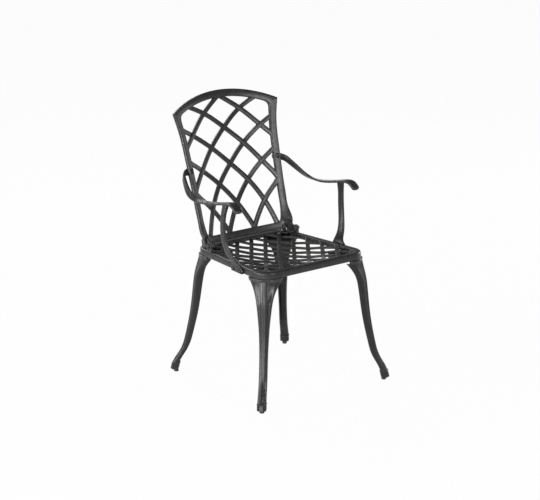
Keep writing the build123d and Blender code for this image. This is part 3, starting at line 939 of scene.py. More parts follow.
@dataclass
class BackSheet:
    """Curved sheet that the back lies in, a cylinder leaning back, and the joints at its edges."""

    seat: SeatPlan
    setback: float = 357.0
    rise: float = 17.0
    recline: float = 16.1
    hollow: float = 22.0
    span: float = 176.0
    thickness: float = 12.0
    upper_bolt: tuple[float, float] = (177.0, 238.0)
    lower_bolt: tuple[float, float] = (159.0, 0.0)
    cheek_x: float = 168.0
    cheek_thickness: float = 8.0
    ear_ahead: float = 30.0
    ear_above: float = 16.0

    @property
    def radius(self) -> float:
        """Radius of the cylinder's front face."""
        return (self.span**2 + self.hollow**2) / (2.0 * self.hollow)

    @property
    def axes(self) -> Axes:
        """Flat axes of the back.

        Returns:
            Axes with x across, y up along the back and z forwards.
        """
        lean = np.radians(self.recline)
        origin = np.array([0.0, self.seat.front_y + self.setback, self.seat.height + self.rise])
        x = np.array([1.0, 0.0, 0.0])
        y = np.array([0.0, np.sin(lean), np.cos(lean)])
        return Axes(origin, x, y, np.cross(x, y))

    def place(self, across: Array, up: Array, depth: Array) -> Array:
        """Points of the sheet: forward by the cylinder's sagitta at that depth behind its front face.

        Args:
            across: Distances across.
            up: Distances up along the back.
            depth: Distances behind the front face.

        Returns:
            Points in space.
        """
        ahead = self.radius - self.hollow - np.sqrt((self.radius + depth) ** 2 - across**2)
        return self.axes.point(across, up, ahead)

    def spot(self, bolt: tuple[float, float], side: Side, depth: float) -> Axes:
        """Place square to the sheet, z forwards.

        Args:
            bolt: Distance from the middle at the front face, and distance up along the back.
            side: Which half.
            depth: Distance behind the front face.

        Returns:
            The axes.
        """
        half_spacing, up = bolt
        angle = np.arcsin(half_spacing / self.radius)
        reach = self.radius + depth
        flat = self.axes
        across = side.value * reach * np.sin(angle)
        ahead = self.radius - self.hollow - reach * np.cos(angle)
        z = -side.value * np.sin(angle) * flat.x + np.cos(angle) * flat.z
        return Axes(flat.point(across, up, ahead), np.cross(flat.y, z), flat.y, z)

    def ear_axes(self, side: Side, out: float) -> Axes:
        """Place of the joint between a cheek and the seat's ear.

        Args:
            side: Which half.
            out: Distance out from the cheek's inner face.

        Returns:
            Axes with z outwards.
        """
        y, z = self.axes.origin[1] - self.ear_ahead, self.seat.height + self.ear_above
        origin = np.array([side.value * (self.cheek_x + out), y, z])
        return Axes(origin, np.array([0.0, side.value, 0.0]), UP, np.array([side.value, 0.0, 0.0]))


@dataclass
class SeatCasting:
    """Seat: rim with its skirt, woven and dished lattice, corner webs, ears and upstands."""

    plan: SeatPlan
    back: BackSheet
    rim_height: float = 21.5
    rim_plate: float = 7.0
    rim_wall: float = 5.0
    rim_width: float = 22.0
    rear_rim_width: float = 34.0
    edge_radius: float = 5.0
    lip_radius: float = 2.0
    nook_radius: float = 3.0
    skirt_chamfer: float = 0.8
    bar_width: float = 14.0
    bar_thickness: float = 6.2
    bar_edge: float = 1.7
    bar_pitch: float = 46.3
    bar_angle: float = 52.3
    bar_reach: float = 330.0
    bar_samples: int = 1321
    fewest_samples: int = 16
    samples_per_row: int = 9
    fewest_rows: int = 8
    bar_numbers: tuple[int, int] = (-8, 15)
    first_crossing: float = 35.6
    lattice_drop: float = 1.3
    lattice_bite: float = 3.0
    weave: float = 0.9
    dish_depth: float = 15.0
    dish_span: float = 190.0
    dish_centre: float = 198.0
    opening_radius: float = 30.0
    web_thickness: float = 8.0
    web_edge: float = 1.0
    ear_radius: float = 11.0
    ear_spread: float = 1.5
    ear_thickness: float = 8.0
    ear_edge: float = 2.0
    upstand_size: tuple[float, float] = (20.0, 35.0)
    upstand_corner: float = 5.0
    upstand_drop: float = 2.5
    upstand_thickness: float = 9.0
    upstand_edge: float = 1.5

    def rim(self) -> Skin:
        """Rim: a hollow angle section carried round the plan's rounded outline.

        The section's distances inwards grow with the local width, which eases from the side's to the
        rear's along the two rear corners.

        Returns:
            The closed ring.
        """
        arc, run = 24, 40
        points, inward = rounded_polygon(self.plan.outline(0.0, 0.0, 0.0), self.plan.corner_radius, arc, run)
        grow = ease(np.linspace(0.0, 1.0, arc))
        rear = np.concatenate([np.zeros(2 * (arc + run)), grow, np.ones(run), grow[::-1], np.zeros(run)])
        width = self.rim_width + (self.rear_rim_width - self.rim_width) * rear
        turn = quarter(6)
        none, full = np.zeros(len(turn)), np.ones(len(turn))
        top, low = self.rim_height, self.rim_height - self.rim_plate
        edge, lip, wall, nook, cut = (
            self.edge_radius, self.lip_radius, self.rim_wall, self.nook_radius, self.skirt_chamfer
        )
        section = np.concatenate(
            [
                np.stack([edge * (1 - np.cos(turn)), none, top - edge + edge * np.sin(turn)], -1),
                np.stack([lip * (np.sin(turn) - 1), full, top - lip + lip * np.cos(turn)], -1),
                np.stack([lip / 2 * (np.cos(turn) - 1), full, low + lip / 2 * (1 - np.sin(turn))], -1),
                np.stack([wall + nook * (1 - np.sin(turn)), none, low - nook * (1 - np.cos(turn))], -1),
                [(wall, 0.0, cut), (wall - cut, 0.0, 0.0), (cut, 0.0, 0.0), (0.0, 0.0, cut)],
            ]
        )
        inset = section[:, 0] + section[:, 1] * width[:, None]
        level = self.plan.height - self.rim_height + section[:, 2]
        flat = points[:, None] + inset[..., None] * inward[:, None]
        rows = np.concatenate([flat, np.broadcast_to(level[None, :, None], (*inset.shape, 1))], axis=-1)
        return grid_skin(rows, ring_path=True)

    def dish(self, x: Array, y: Array) -> Array:
        """Height of the lattice's top: a shallow bowl, eased into the level rim.

        Args:
            x: Distances across.
            y: Places along the depth.

        Returns:
            Heights above the floor.
        """
        far = np.hypot(x, y - self.plan.front_y - self.dish_centre) / self.dish_span
        drop = self.dish_depth * (1.0 - far**2)
        drop = 0.5 * (drop + np.sqrt(drop**2 + 1.0))
        return self.plan.height - self.lattice_drop - drop

    def inside(self, x: Array, y: Array) -> Array:
        """Which points lie in the opening that the lattice fills, its rounded corners taken off.

        Args:
            x: Distances across.
            y: Places along the depth.

        Returns:
            True for each point inside.
        """
        bite = self.lattice_bite
        corners = self.plan.outline(self.rim_width - bite, self.rim_width - bite, self.rear_rim_width - bite)
        radius = self.opening_radius + bite
        along = unit(np.roll(corners, -1, axis=0) - corners)
        left = np.stack([-along[:, 1], along[:, 0]], axis=-1)
        spot = np.stack([x, y], axis=-1)
        depth = np.einsum("...kj,kj->...k", spot[..., None, :] - corners, left)
        short = np.maximum(radius - depth, 0.0)
        corner_gap = np.hypot(short, np.roll(short, 1, axis=-1)).max(axis=-1)
        return (depth.min(axis=-1) > 0.0) & (corner_gap < radius)

    def bar(self, sign: float, start: float) -> Skin | None:
        """One bar: a rounded rectangle along a straight plan line, on the dish, waving over and under.

        The wave is a cosine of the distance across, whose half period is the gap between two crossings,
        and the two directions of bars take it with opposite signs.

        Args:
            sign: Which way the bar leans.
            start: How far behind the front edge its line meets the chair's middle.

        Returns:
            The closed bar, or nothing where its line hardly meets the opening.
        """
        lean = np.radians(self.bar_angle)
        ahead = np.array([np.cos(lean), sign * np.sin(lean)])
        across = np.array([-ahead[1], ahead[0]])
        middle = np.array([0.0, self.plan.front_y + start])
        along = np.linspace(-self.bar_reach, self.bar_reach, self.bar_samples)
        kept = along[self.inside(*(middle + along[:, None] * ahead).T)]
        if len(kept) < self.fewest_samples:
            return None
        rows = max(self.fewest_rows, len(kept) // self.samples_per_row)
        path = middle + np.linspace(kept[0], kept[-1], rows)[:, None] * ahead
        x, y = path.T
        wave = sign * self.weave * np.cos(np.pi * x * 2.0 * np.sin(lean) / self.bar_pitch)
        section = rounded_section(np.full(len(path), self.bar_width), self.bar_thickness, self.bar_edge)
        flat = path[:, None] + section[..., :1] * across
        level = (self.dish(x, y) + wave - self.bar_thickness / 2)[:, None] + section[..., 1]
        return grid_skin(np.concatenate([flat, level[..., None]], axis=-1))

    def lattice(self) -> list[Skin]:
        """Bars of both directions, a pitch apart.

        Returns:
            One closed surface per bar.
        """
        gap = self.bar_pitch / np.cos(np.radians(self.bar_angle))
        starts = self.first_crossing + gap * np.arange(*self.bar_numbers)
        bars = [self.bar(sign, start) for sign in (1.0, -1.0) for start in starts]
        return [bar for bar in bars if bar is not None]

    def fittings(self) -> list[Skin]:
        """Corner webs, ears and upstands as plates with rounded rims.

        Returns:
            One closed surface per plate.
        """
        low = self.plan.height - self.rim_height
        high = low + self.web_thickness
        disc = circle(self.plan.corner_radius - self.rim_wall / 2, 64)
        flat = Axes(np.zeros(3), *np.eye(3))
        skins = [slab(disc + self.plan.corner_centre(corner), low, high, self.web_edge, flat) for corner in Corner]
        turn = np.linspace(0.0, np.pi, 24)
        arch = self.ear_radius * np.stack([np.cos(turn), np.sin(turn)], axis=-1)
        down = np.linspace(0.0, 1.0, 8)[1:]
        drop = self.back.ear_above + self.rim_plate / 2
        flank = np.stack([self.ear_radius + self.ear_spread * down, -drop * down], axis=-1)
        ear = np.concatenate([arch, flank * (-1.0, 1.0), flank[::-1]])
        wide, tall = self.upstand_size
        upstand = rounded_section(np.array([wide]), tall, self.upstand_corner, 6)[0] - (0.0, self.upstand_drop)
        for side in Side:
            joint = self.back.ear_axes(side, self.back.cheek_thickness)
            skins.append(slab(ear, 0.0, self.ear_thickness, self.ear_edge, joint))
            joint = self.back.spot(self.back.lower_bolt, side, self.back.thickness)
            skins.append(slab(upstand, -self.upstand_thickness, 0.0, self.upstand_edge, joint))
        return skins

    def build(self, finishes: Finishes) -> None:
        """Makes the seat's piece and dresses it.

        Args:
            finishes: Materials of the chair.
        """
        skins = [self.rim(), *self.lattice(), *self.fittings()]
        place_piece(mesh_of("seat_casting", skins), finishes.coat, ["seat_panel"])


@dataclass
class BackCasting:
    """Back: arched frame with flaring stiles, woven lattice on the curve, lower cheeks.

    The flare gives points of a stile's outer line, out from its foot and up. Each bar that leans one way
    is a line of points across and up, from the uppermost bar, with the number of its first crossing.
    """

    plan: SeatPlan
    sheet: BackSheet
    arch_height: float = 487.0
    corner_height: float = 430.0
    corner_half_width: float = 213.5
    arch_band: float = 25.0
    stile_low: float = 176.0
    stile_width_low: float = 22.0
    stile_width_top: float = 23.5
    rail_low: float = -5.0
    rail_high: float = 18.5
    corner_in: float = 1.25
    corner_down: float = 0.45
    rail_points: int = 60
    stile_points: int = 130
    arch_points: int = 64
    edge_radius: float = 3.2
    foot_flare: float = 7.0
    flare_height: float = 26.0
    lip: float = 13.0
    lip_from: float = 171.0
    lip_run: float = 13.0
    lip_height: float = 44.0
    bar_width: float = 15.2
    bar_thickness: float = 9.2
    bar_edge: float = 2.3
    bar_recess: float = 1.4
    bar_row_gap: float = 3.5
    fewest_rows: int = 40
    weave: float = 1.25
    crossing_swell: tuple[float, float] = (1.4, 8.0)
    end_swell: tuple[float, float] = (4.5, 14.0)
    nose_radius: float = 11.6
    cheek_edge: float = 2.2
    lower_bore: float = 10.0
    upper_bore: float = 7.75
    counterbore_depth: float = 6.0
    flare: tuple[tuple[float, float], ...] = (
        (4.5, 30.0), (7.5, 65.0), (8.7, 105.0), (9.5, 150.0), (11.0, 190.0), (15.0, 274.0), (22.0, 360.0),
    )
    first_crossings: tuple[int, ...] = (1, 0, 0, 1, 2)
    lines: tuple[tuple[tuple[float, float], ...], ...] = (
        ((-14.0, 478.0), (73.0, 416.0), (139.5, 351.5), (186.0, 302.0)),
        ((-150.0, 451.0), (-73.0, 416.0), (0.0, 363.0), (66.0, 300.5), (123.5, 233.5), (172.0, 168.0)),
        (
            (-195.0, 380.0), (-139.5, 351.5), (-66.0, 300.5), (0.0, 242.0),
            (58.5, 177.5), (107.5, 101.5), (142.0, 6.0),
        ),
        ((-182.0, 271.0), (-123.5, 233.5), (-58.5, 177.5), (0.0, 110.5), (55.5, 10.0)),
        ((-170.0, 160.0), (-107.5, 101.5), (-46.5, 10.0)),
    )

    def frame_lines(self) -> tuple[Array, Array]:
        """Outer and inner lines of the frame, point for point, round from the middle of the rail.

        The stile is a spline through points that flare outwards, with a bell curve of the height added
        at its foot. The arch is a circle through its two corners and its crown, and the inner line's
        corners are rounded by a running mean.

        Returns:
            The outer and the inner line, in the back's flat plane.
        """
        foot, corner = (0.0, self.rail_low), (self.corner_half_width - self.stile_low, self.corner_height)
        stile = np.array([foot, *self.flare, corner]) + (self.stile_low, 0.0)
        width = self.stile_width_low + (self.stile_width_top - self.stile_width_low) * stile[:, 1] / self.corner_height
        inner_stile = stile - np.stack([width, np.zeros(len(stile))], axis=-1)
        inner_stile[0, 1] = self.rail_high
        inner_stile[1] = inner_stile[[0, 2]].mean(axis=0)
        inner_stile[-1] = (
            self.corner_half_width - self.corner_in * self.stile_width_top,
            self.corner_height - self.corner_down * self.arch_band,
        )
        stile[:, 0] += self.foot_flare * np.exp(-(((stile[:, 1] - self.flare_height) / self.flare_height) ** 2))
        halves = []
        for line, crown in ((stile, self.arch_height), (inner_stile, self.arch_height - self.arch_band)):
            rail = np.linspace((0.0, line[0, 1]), line[0], self.rail_points)
            post = smooth_line(line, self.stile_points)
            half, sag = line[-1, 0], crown - line[-1, 1]
            radius = (half**2 + sag**2) / (2.0 * sag)
            angle = np.linspace(np.arcsin(half / radius), 0.0, self.arch_points)
            arch = np.stack([radius * np.sin(angle), crown - radius + radius * np.cos(angle)], axis=-1)
            halves.append(np.concatenate([rail[:-1], post[:-1], arch]))
        outer, inner = (np.concatenate([half, half[-2:0:-1] * (-1.0, 1.0)]) for half in halves)
        return outer, loop_smoothed(inner, window=9, passes=2)

    def frame_band(self) -> Skin:
        """Frame: a rounded rectangle between the outer and the inner line, laid on the curved sheet.

        Towards the foot of a stile its outer edge comes forward, by a bell curve of the height.

        Returns:
            The closed ring.
        """
        outer, inner = self.frame_lines()
        across = outer - inner
        width = np.linalg.norm(across, axis=1)
        direction = across / width[:, None]
        section = rounded_section(width, self.sheet.thickness, self.edge_radius)
        flat = ((outer + inner) / 2)[:, None] + section[..., :1] * direction[:, None]
        x, up = flat[..., 0], flat[..., 1]
        lip = ease((np.abs(x) - self.lip_from) / self.lip_run) * self.lip * np.exp(-((up / self.lip_height) ** 2))
        depth = self.sheet.thickness / 2 - section[..., 1] - lip
        return grid_skin(self.sheet.place(x, up, depth), ring_path=True)

    def bar(self, line: Array, lift: Array) -> Skin:
        """One bar: a rounded rectangle carried along a spline on the curved sheet.

        Its depth passes smoothly through the lifts at its crossings, and it widens by bell curves into
        each crossing and into the frame.

        Args:
            line: Points across and up.
            lift: How far forward the bar stands at each point.

        Returns:
            The closed bar.
        """
        run = chords(line)
        at = np.linspace(0.0, run[-1], max(self.fewest_rows, int(run[-1] / self.bar_row_gap)))
        path = spline(at, run, line)
        ahead = unit(np.gradient(path, axis=0))
        across = np.stack([-ahead[:, 1], ahead[:, 0]], axis=-1)
        i = np.clip(np.searchsorted(run, at, side="right") - 1, 0, len(run) - 2)
        share = ease((at - run[i]) / (run[i + 1] - run[i]))
        forward = lift[i] * (1.0 - share) + lift[i + 1] * share
        near = np.abs(at[:, None] - run[1:-1]).min(axis=1)
        ends = np.minimum(at, run[-1] - at)
        width = np.full(len(at), self.bar_width)
        for gap, (swell, reach) in ((near, self.crossing_swell), (ends, self.end_swell)):
            width = width + swell * np.exp(-((gap / reach) ** 2))
        section = rounded_section(width, self.bar_thickness, self.bar_edge)
        flat = path[:, None] + section[..., :1] * across[:, None]
        depth = self.bar_recess + self.bar_thickness / 2 - section[..., 1] - forward[:, None]
        return grid_skin(self.sheet.place(flat[..., 0], flat[..., 1], depth))

    def lattice(self) -> list[Skin]:
        """Bars of both directions, each over at one crossing and under at the next.

        Returns:
            One closed surface per bar.
        """
        skins: list[Skin] = []
        for number, (first, points) in enumerate(zip(self.first_crossings, self.lines)):
            line = np.array(points)
            crossing = number + first + np.arange(len(line) - 2)
            lift = np.zeros(len(line))
            lift[1:-1] = np.where(crossing % 2 == 1, self.weave, -self.weave)
            skins += [self.bar(line, lift), self.bar(line * (-1.0, 1.0), -lift)]
        return skins

    def cheeks(self) -> list[Skin]:
        """Lower cheeks: plates that sweep from the stile down to a round end on the ear.

        Returns:
            Both plates.
        """
        sweep = np.array([(11.0, 45.0), (3.0, 41.0), (-5.0, 37.0), (-13.0, 33.0), (-20.0, 29.3), (-24.0, 27.0)])
        turn = np.radians(np.linspace(62.0, 232.0, 24))
        nose = self.nose_radius * np.stack([np.cos(turn), np.sin(turn)], axis=-1)
        nose = nose + (-self.sheet.ear_ahead, self.sheet.ear_above)
        rear = np.array([(-34.0, 3.0), (-20.0, 3.0), (0.0, 3.0), (6.0, 3.0), (9.0, 20.0), (14.0, 40.0)])
        plan = np.concatenate([smooth_line(sweep, 24), nose, rear]) + (self.sheet.axes.origin[1], self.plan.height)
        skins = []
        for side in Side:
            out = np.array([side.value, 0.0, 0.0])
            place = Axes(out * self.sheet.cheek_x, np.array([0.0, 1.0, 0.0]), UP, out)
            skins.append(slab(plan, 0.0, self.sheet.cheek_thickness, self.cheek_edge, place))
        return skins

    def counterbores(self) -> list[Skin]:
        """Hollows for the bolt heads: short cylinders with a chamfered mouth, square to the sheet.

        Returns:
            Four closed cutters.
        """
        skins = []
        low = -self.counterbore_depth
        for bolt, radius in ((self.sheet.lower_bolt, self.lower_bore), (self.sheet.upper_bolt, self.upper_bore)):
            floor = [(POLE, low), (radius - 0.6, low), (radius, low + 0.6)]
            mouth = [(radius, -1.1), (radius + 1.1, 0.0), (radius + 1.6, 3.0), (POLE, 3.0)]
            skins += [turned(np.array(floor + mouth), self.sheet.spot(bolt, side, 0.0), 48) for side in Side]
        return skins

    def build(self, finishes: Finishes) -> None:
        """Makes the back's piece, with its bolt hollows cut, and dresses it.

        Args:
            finishes: Materials of the chair.
        """
        band = cut_out(mesh_of("back_band", [self.frame_band()]), self.counterbores())
        rest = mesh_of("back_rest", [*self.lattice(), *self.cheeks()])
        place_piece(joined("back_casting", [band, rest]), finishes.coat, ["back_panel"])


@dataclass
class ArmCasting:
    """One arm: lug behind the stile, twisting blade with a rolled tip, post flaring into its foot plate.

    A station of the blade is its place across, behind the seat's front edge and above the seat, its width
    and its turn in degrees. One of the post is its place above the seat, across and behind the front edge,
    and its width. One of the foot plate is its place above the seat and behind the plate's middle, and its
    width.
    """

    plan: SeatPlan
    sheet: BackSheet
    side: Side
    thickness: float = 8.0
    post_thickness: float = 12.0
    post_edge: float = 3.4
    plate_thickness: float = 9.0
    plate_behind: float = 138.0
    thin_from: float = 22.0
    thin_run: float = 30.0
    lug_radius: float = 13.0
    lug_edge: float = 1.6
    lug_run: float = 9.1
    lug_widths: tuple[float, float] = (22.1, 20.8)
    blade_rows: int = 170
    blade_edge: float = 0.42
    tip: float = 11.0
    tip_swell: float = 3.0
    swell_run: float = 42.0
    stations: tuple[tuple[float, ...], ...] = (
        (197.0, 433.5, 239.0, 21.0, 92.0),
        (208.5, 424.0, 233.5, 21.5, 97.0),
        (218.0, 406.0, 221.5, 21.5, 103.0),
        (226.5, 385.0, 207.0, 21.5, 109.0),
        (233.0, 362.0, 193.0, 21.0, 116.0),
        (236.0, 338.0, 184.5, 20.0, 127.0),
        (236.5, 313.0, 180.5, 18.5, 144.0),
        (235.0, 284.0, 179.8, 18.0, 164.0),
        (233.0, 253.0, 182.2, 20.0, 176.0),
        (232.0, 221.0, 187.2, 22.0, 180.0),
        (232.5, 190.0, 193.3, 24.0, 180.0),
        (234.0, 161.0, 199.6, 27.0, 180.0),
        (236.5, 137.0, 204.0, 30.0, 180.0),
        (238.5, 118.0, 203.0, 31.5, 180.0),
        (239.5, 101.5, 195.0, 31.5, 180.0),
        (240.5, 90.0, 182.5, 29.0, 180.0),
    )
    post_stations: tuple[tuple[float, ...], ...] = (
        (196.5, 235.0, 164.0, 26.0),
        (170.0, 240.0, 168.0, 20.5),
        (120.0, 243.0, 170.0, 19.5),
        (75.0, 241.0, 165.0, 20.0),
        (44.0, 234.0, 157.5, 23.0),
        (22.0, 223.5, 151.5, 28.0),
        (8.0, 213.5, 146.0, 38.0),
        (0.0, 211.0, 142.0, 50.0),
    )
    plate_stations: tuple[tuple[float, ...], ...] = ((-8.0, 1.0, 62.0), (-15.0, 0.0, 66.0), (-22.0, 0.0, 64.0))

    @property
    def joint(self) -> Axes:
        """Place of the left lug's front face, against the stile's rear face."""
        return self.sheet.spot(self.sheet.upper_bolt, Side.LEFT, self.sheet.thickness)

    def blade(self) -> Skin:
        """Blade: a rounded rectangle carried along a spline from the lug to the tip, turning as it goes.

        Its thickness grows into the tip, and over the last few millimetres both sides fall to a rounded
        end by the square root of one less the square of the distance.

        Returns:
            The closed blade of the left arm.
        """
        lug = self.joint
        start = lug.point(np.array([0.0, self.lug_run]), 0.0, -self.thickness / 2)
        table = np.array(self.stations)
        knots = np.concatenate([start, table[:, :3] + (0.0, self.plan.front_y, self.plan.height)])
        width = np.concatenate([self.lug_widths, table[:, 3]])
        behind = np.concatenate([knots[:1], knots[:-1]])
        ahead = np.concatenate([knots[1:], knots[-1:]])
        along = unit(ahead - behind)
        level = unit(np.cross(UP, along))
        rise = np.cross(along, level)
        twist = np.radians(np.concatenate([[90.0, 90.0], table[:, 4]]))[:, None]
        broad = level * np.cos(twist) + rise * np.sin(twist)
        broad[:2] = lug.y
        run = chords(knots)
        at = np.linspace(0.0, run[-1], self.blade_rows)
        at = np.concatenate([at[at < run[-1] - self.tip], run[-1] - self.tip * np.cos(quarter(9))])
        path = spline(at, run, knots)
        ahead = unit(np.gradient(path, axis=0))
        broad = np.stack([np.interp(at, run, broad[:, k]) for k in range(3)], axis=-1)
        broad = unit(broad - ahead * np.einsum("ij,ij->i", broad, ahead)[:, None])
        thin = np.cross(ahead, broad)
        left = run[-1] - at
        fall = np.sqrt(np.clip(1.0 - np.maximum(1.0 - left / self.tip, 0.0) ** 2, 0.02, 1.0))
        breadth = spline(at, run, width[:, None])[:, 0] * fall**0.5
        stout = (self.thickness + self.tip_swell * ease(1.0 - left / self.swell_run)) * fall
        section = rounded_section(breadth, stout, self.blade_edge * stout)
        return grid_skin(path[:, None] + section[..., :1] * broad[:, None] + section[..., 1:] * thin[:, None])

    def post(self) -> Skin:
        """Post: level rounded rectangles on a spline down from the blade, flaring into the foot plate.

        The thickness eases from the post's to the plate's.

        Returns:
            The closed post of the left arm.
        """
        seat_side = self.plan.side_axes(Side.LEFT, self.plate_behind, 0.0, 0.0)
        plate_x = seat_side.origin[0] + self.plate_thickness / 2
        plate = [(up, plate_x, self.plate_behind + behind, wide) for up, behind, wide in self.plate_stations]
        table = np.array([*self.post_stations, *plate])
        run = -table[:, 0]
        at = np.linspace(run[0], run[-1], 90)
        high, out, behind, width = spline(at, run, table).T
        thin = (self.post_thickness - self.plate_thickness) * ease((self.thin_from - high) / self.thin_run)
        section = rounded_section(width, self.post_thickness - thin, self.post_edge)
        path = np.stack([out, behind + self.plan.front_y, high + self.plan.height], axis=-1)
        return grid_skin(path[:, None] + section[..., :1] * seat_side.x + section[..., 1:] * seat_side.z)

    def lug(self) -> Skin:
        """Lug: round plate against the stile's rear face."""
        return slab(circle(self.lug_radius, 48), -self.thickness, 0.0, self.lug_edge, self.joint)

    def build(self, finishes: Finishes) -> None:
        """Makes the arm's piece, mirrored for the right, and dresses it.

        Args:
            finishes: Materials of the chair.
        """
        skins = [self.blade(), self.post(), self.lug()]
        if self.side is Side.RIGHT:
            skins = [skin.mirrored() for skin in skins]
        name = "arm_" + self.side.name.lower()
        place_piece(mesh_of(name + "_casting", skins), finishes.coat, [name])


@dataclass
class LegCasting:
    """One cabriole leg: stepped collar, hollow tapering body with a rib on its ridge, shoe with a toe panel.

    A station of the body is its share of the height, its share of the way in from the foot to the top, its
    depth and its width. A row of the shoe's outline is a height and how far the shoe stands out there. The
    fades give where a form starts to rise, and over how much, as shares of the height.
    """

    plan: SeatPlan
    corner: Corner
    rim_bottom: float = 413.5
    collar_step: float = 6.0
    collar_inset: float = 2.5
    collar_overhang: float = 5.5
    collar_width: float = 110.0
    collar_start: float = 22.0
    collar_chamfer: float = 3.0
    collar_edge: float = 2.0
    top_inset: float = 16.0
    shoe_low: float = 9.0
    shoe_height: float = 24.0
    shoe_length: float = 27.0
    shoe_width: float = 30.0
    shoe_taper: float = 4.0
    shoe_corner: float = 5.5
    toe_run: float = 1.5
    toe_slope: float = 13.0
    toe_panel: tuple[float, float] = (12.0, 19.0)
    toe_sunk: float = 1.2
    toe_proud: float = 4.6
    wall: float = 5.0
    floor_depth: float = 7.5
    crowd_from: float = 0.8
    crowd_power: float = 0.9
    face_power: float = 3.2
    bow_radius: float = 1.096
    bow_rise: float = 0.735
    rib_proud: float = 3.0
    rib_half: float = 6.3
    rib_fall: float = 2.1
    flute: float = 2.8
    rib_fade: tuple[float, float] = (0.0, 0.06)
    hollow_fade: tuple[float, float] = (0.10, 0.10)
    flute_fade: tuple[float, float] = (0.3, 0.5)
    bow_fade: tuple[float, float] = (0.80, 0.18)
    stations: tuple[tuple[float, ...], ...] = (
        (0.000, -0.01, 24.0, 29.0),
        (0.050, 0.100, 20.5, 28.0),
        (0.135, 0.292, 20.0, 27.5),
        (0.265, 0.452, 21.0, 27.0),
        (0.445, 0.600, 23.0, 29.0),
        (0.625, 0.702, 25.0, 36.0),
        (0.770, 0.768, 26.5, 47.0),
        (0.880, 0.842, 31.0, 62.0),
        (0.950, 0.925, 40.0, 83.0),
        (1.000, 1.000, 49.0, 104.0),
    )
    shoe_outline: tuple[tuple[float, float], ...] = (
        (0.0, -3.0), (0.5, -1.6), (1.6, -0.5), (3.2, 0.0), (18.5, 0.0),
        (20.0, 0.1), (21.0, 0.7), (22.4, 0.7), (23.5, -0.4), (24.0, -2.0),
    )

    def face(self, across: Array, half: Array, rise: Array, top: Array) -> Array:
        """Outer face of a level section: a superellipse low down, a round bow under the collar.

        Args:
            across: Distances from the ridge.
            half: Half width of each section.
            rise: Half depth of each section.
            top: Share of the round bow in each section.

        Returns:
            Distances outwards from the section's middle.
        """
        power, bow = self.face_power, self.bow_radius * half
        soft = rise * np.clip(1.0 - (across / half) ** power, 0.0, 1.0) ** (1.0 / power)
        bowed = self.bow_rise * rise - bow + np.sqrt(bow**2 - across**2)
        return soft * (1.0 - top) + bowed * top

    @staticmethod
    def fade(share: Array, span: tuple[float, float]) -> Array:
        """Column that eases from 0 to 1 over a span of the height."""
        return ease((share - span[0]) / span[1])[:, None]

    def body(self) -> Skin:
        """Body: level sections up the leg, each half a line from the ridge round the wall into the hollow.

        The heights of the sections are even low down and follow a power of the share near the top.
        The outer face has a soft rib on its ridge, and towards the top a shallow flute on each side of
        it, by the squared sine of the distance across. The wall turns in at the inner edge and runs down
        to the floor of the hollow, a wall behind the outer face, which fades out in the foot.

        Returns:
            The closed body.
        """
        table = np.array(self.stations)
        share = np.linspace(0.0, 1.0, 110)
        late = np.maximum(share - self.crowd_from, 0.0) / (1.0 - self.crowd_from)
        share = np.minimum(share, self.crowd_from) + (1.0 - self.crowd_from) * late**self.crowd_power
        lean, deep, wide = spline(share, table[:, 0], table[:, 1:]).T
        half, rise = wide[:, None] / 2, deep[:, None] / 2
        top = self.fade(share, self.bow_fade)
        ridge = np.array([0.0, 1.6, 3.2, 4.2, 4.9, 5.6, 6.3, 7.2])
        shoulder = np.array([0.08, 0.16, 0.25, 0.34, 0.44, 0.54, 0.64, 0.74, 0.83, 0.90, 0.95, 0.98, 1.0])
        beside = half - ridge[-1]
        outer_w = np.concatenate([0.0 * half + ridge, ridge[-1] + beside * shoulder], axis=1)
        flank = np.clip((outer_w - ridge[-1]) / beside, 0.0, 1.0)
        rib = self.rib_proud * ease((self.rib_half - outer_w) / self.rib_fall) * self.fade(share, self.rib_fade)
        flute = self.flute * self.fade(share, self.flute_fade) * np.sin(np.pi * flank**0.8) ** 2
        outer_r = self.face(outer_w, half, rise, top) + rib - flute
        hollow = self.fade(share, self.hollow_fade)
        lip = half - self.wall
        edge = outer_r[:, -1:]
        back = rise * (1.0 - 0.5 * top)
        floor = self.face(lip - 3.0, half, rise, top) - self.floor_depth
        crown = self.face(0.0 * half, half, rise, top) - self.floor_depth
        inner_w = np.concatenate(
            [half * 0.998, half * 0.985, half - 1.2, half - 2.6, half - 4.0, lip, lip, lip - 0.4, lip - 3.0, 0 * half],
            axis=1,
        )
        solid_r = edge - back * np.array([0.35, 0.6, 0.8, 0.93, 0.985, 1.0, 1.0, 1.0, 1.0, 1.0])
        hollow_r = np.concatenate(
            [edge - back * np.array([0.35, 0.6, 0.82, 0.95, 0.97, 0.86]), floor - 6.0, floor - 2.6, floor, crown],
            axis=1,
        )
        inner_r = solid_r * (1.0 - hollow) + hollow_r * hollow
        w = np.concatenate([outer_w, inner_w, -inner_w[:, -2::-1], -outer_w[:, :0:-1]], axis=1)
        r = np.concatenate([outer_r, inner_r, inner_r[:, -2::-1], outer_r[:, :0:-1]], axis=1)
        reach = self.plan.reach(self.corner) + self.top_inset
        low = self.shoe_low + self.shoe_height
        high = self.rim_bottom - 1.5 * self.collar_step
        level = low + share * (high - low)
        return grid_skin(self.plan.leg_axes(self.corner).point(r - (lean * reach)[:, None], w, level[:, None]))

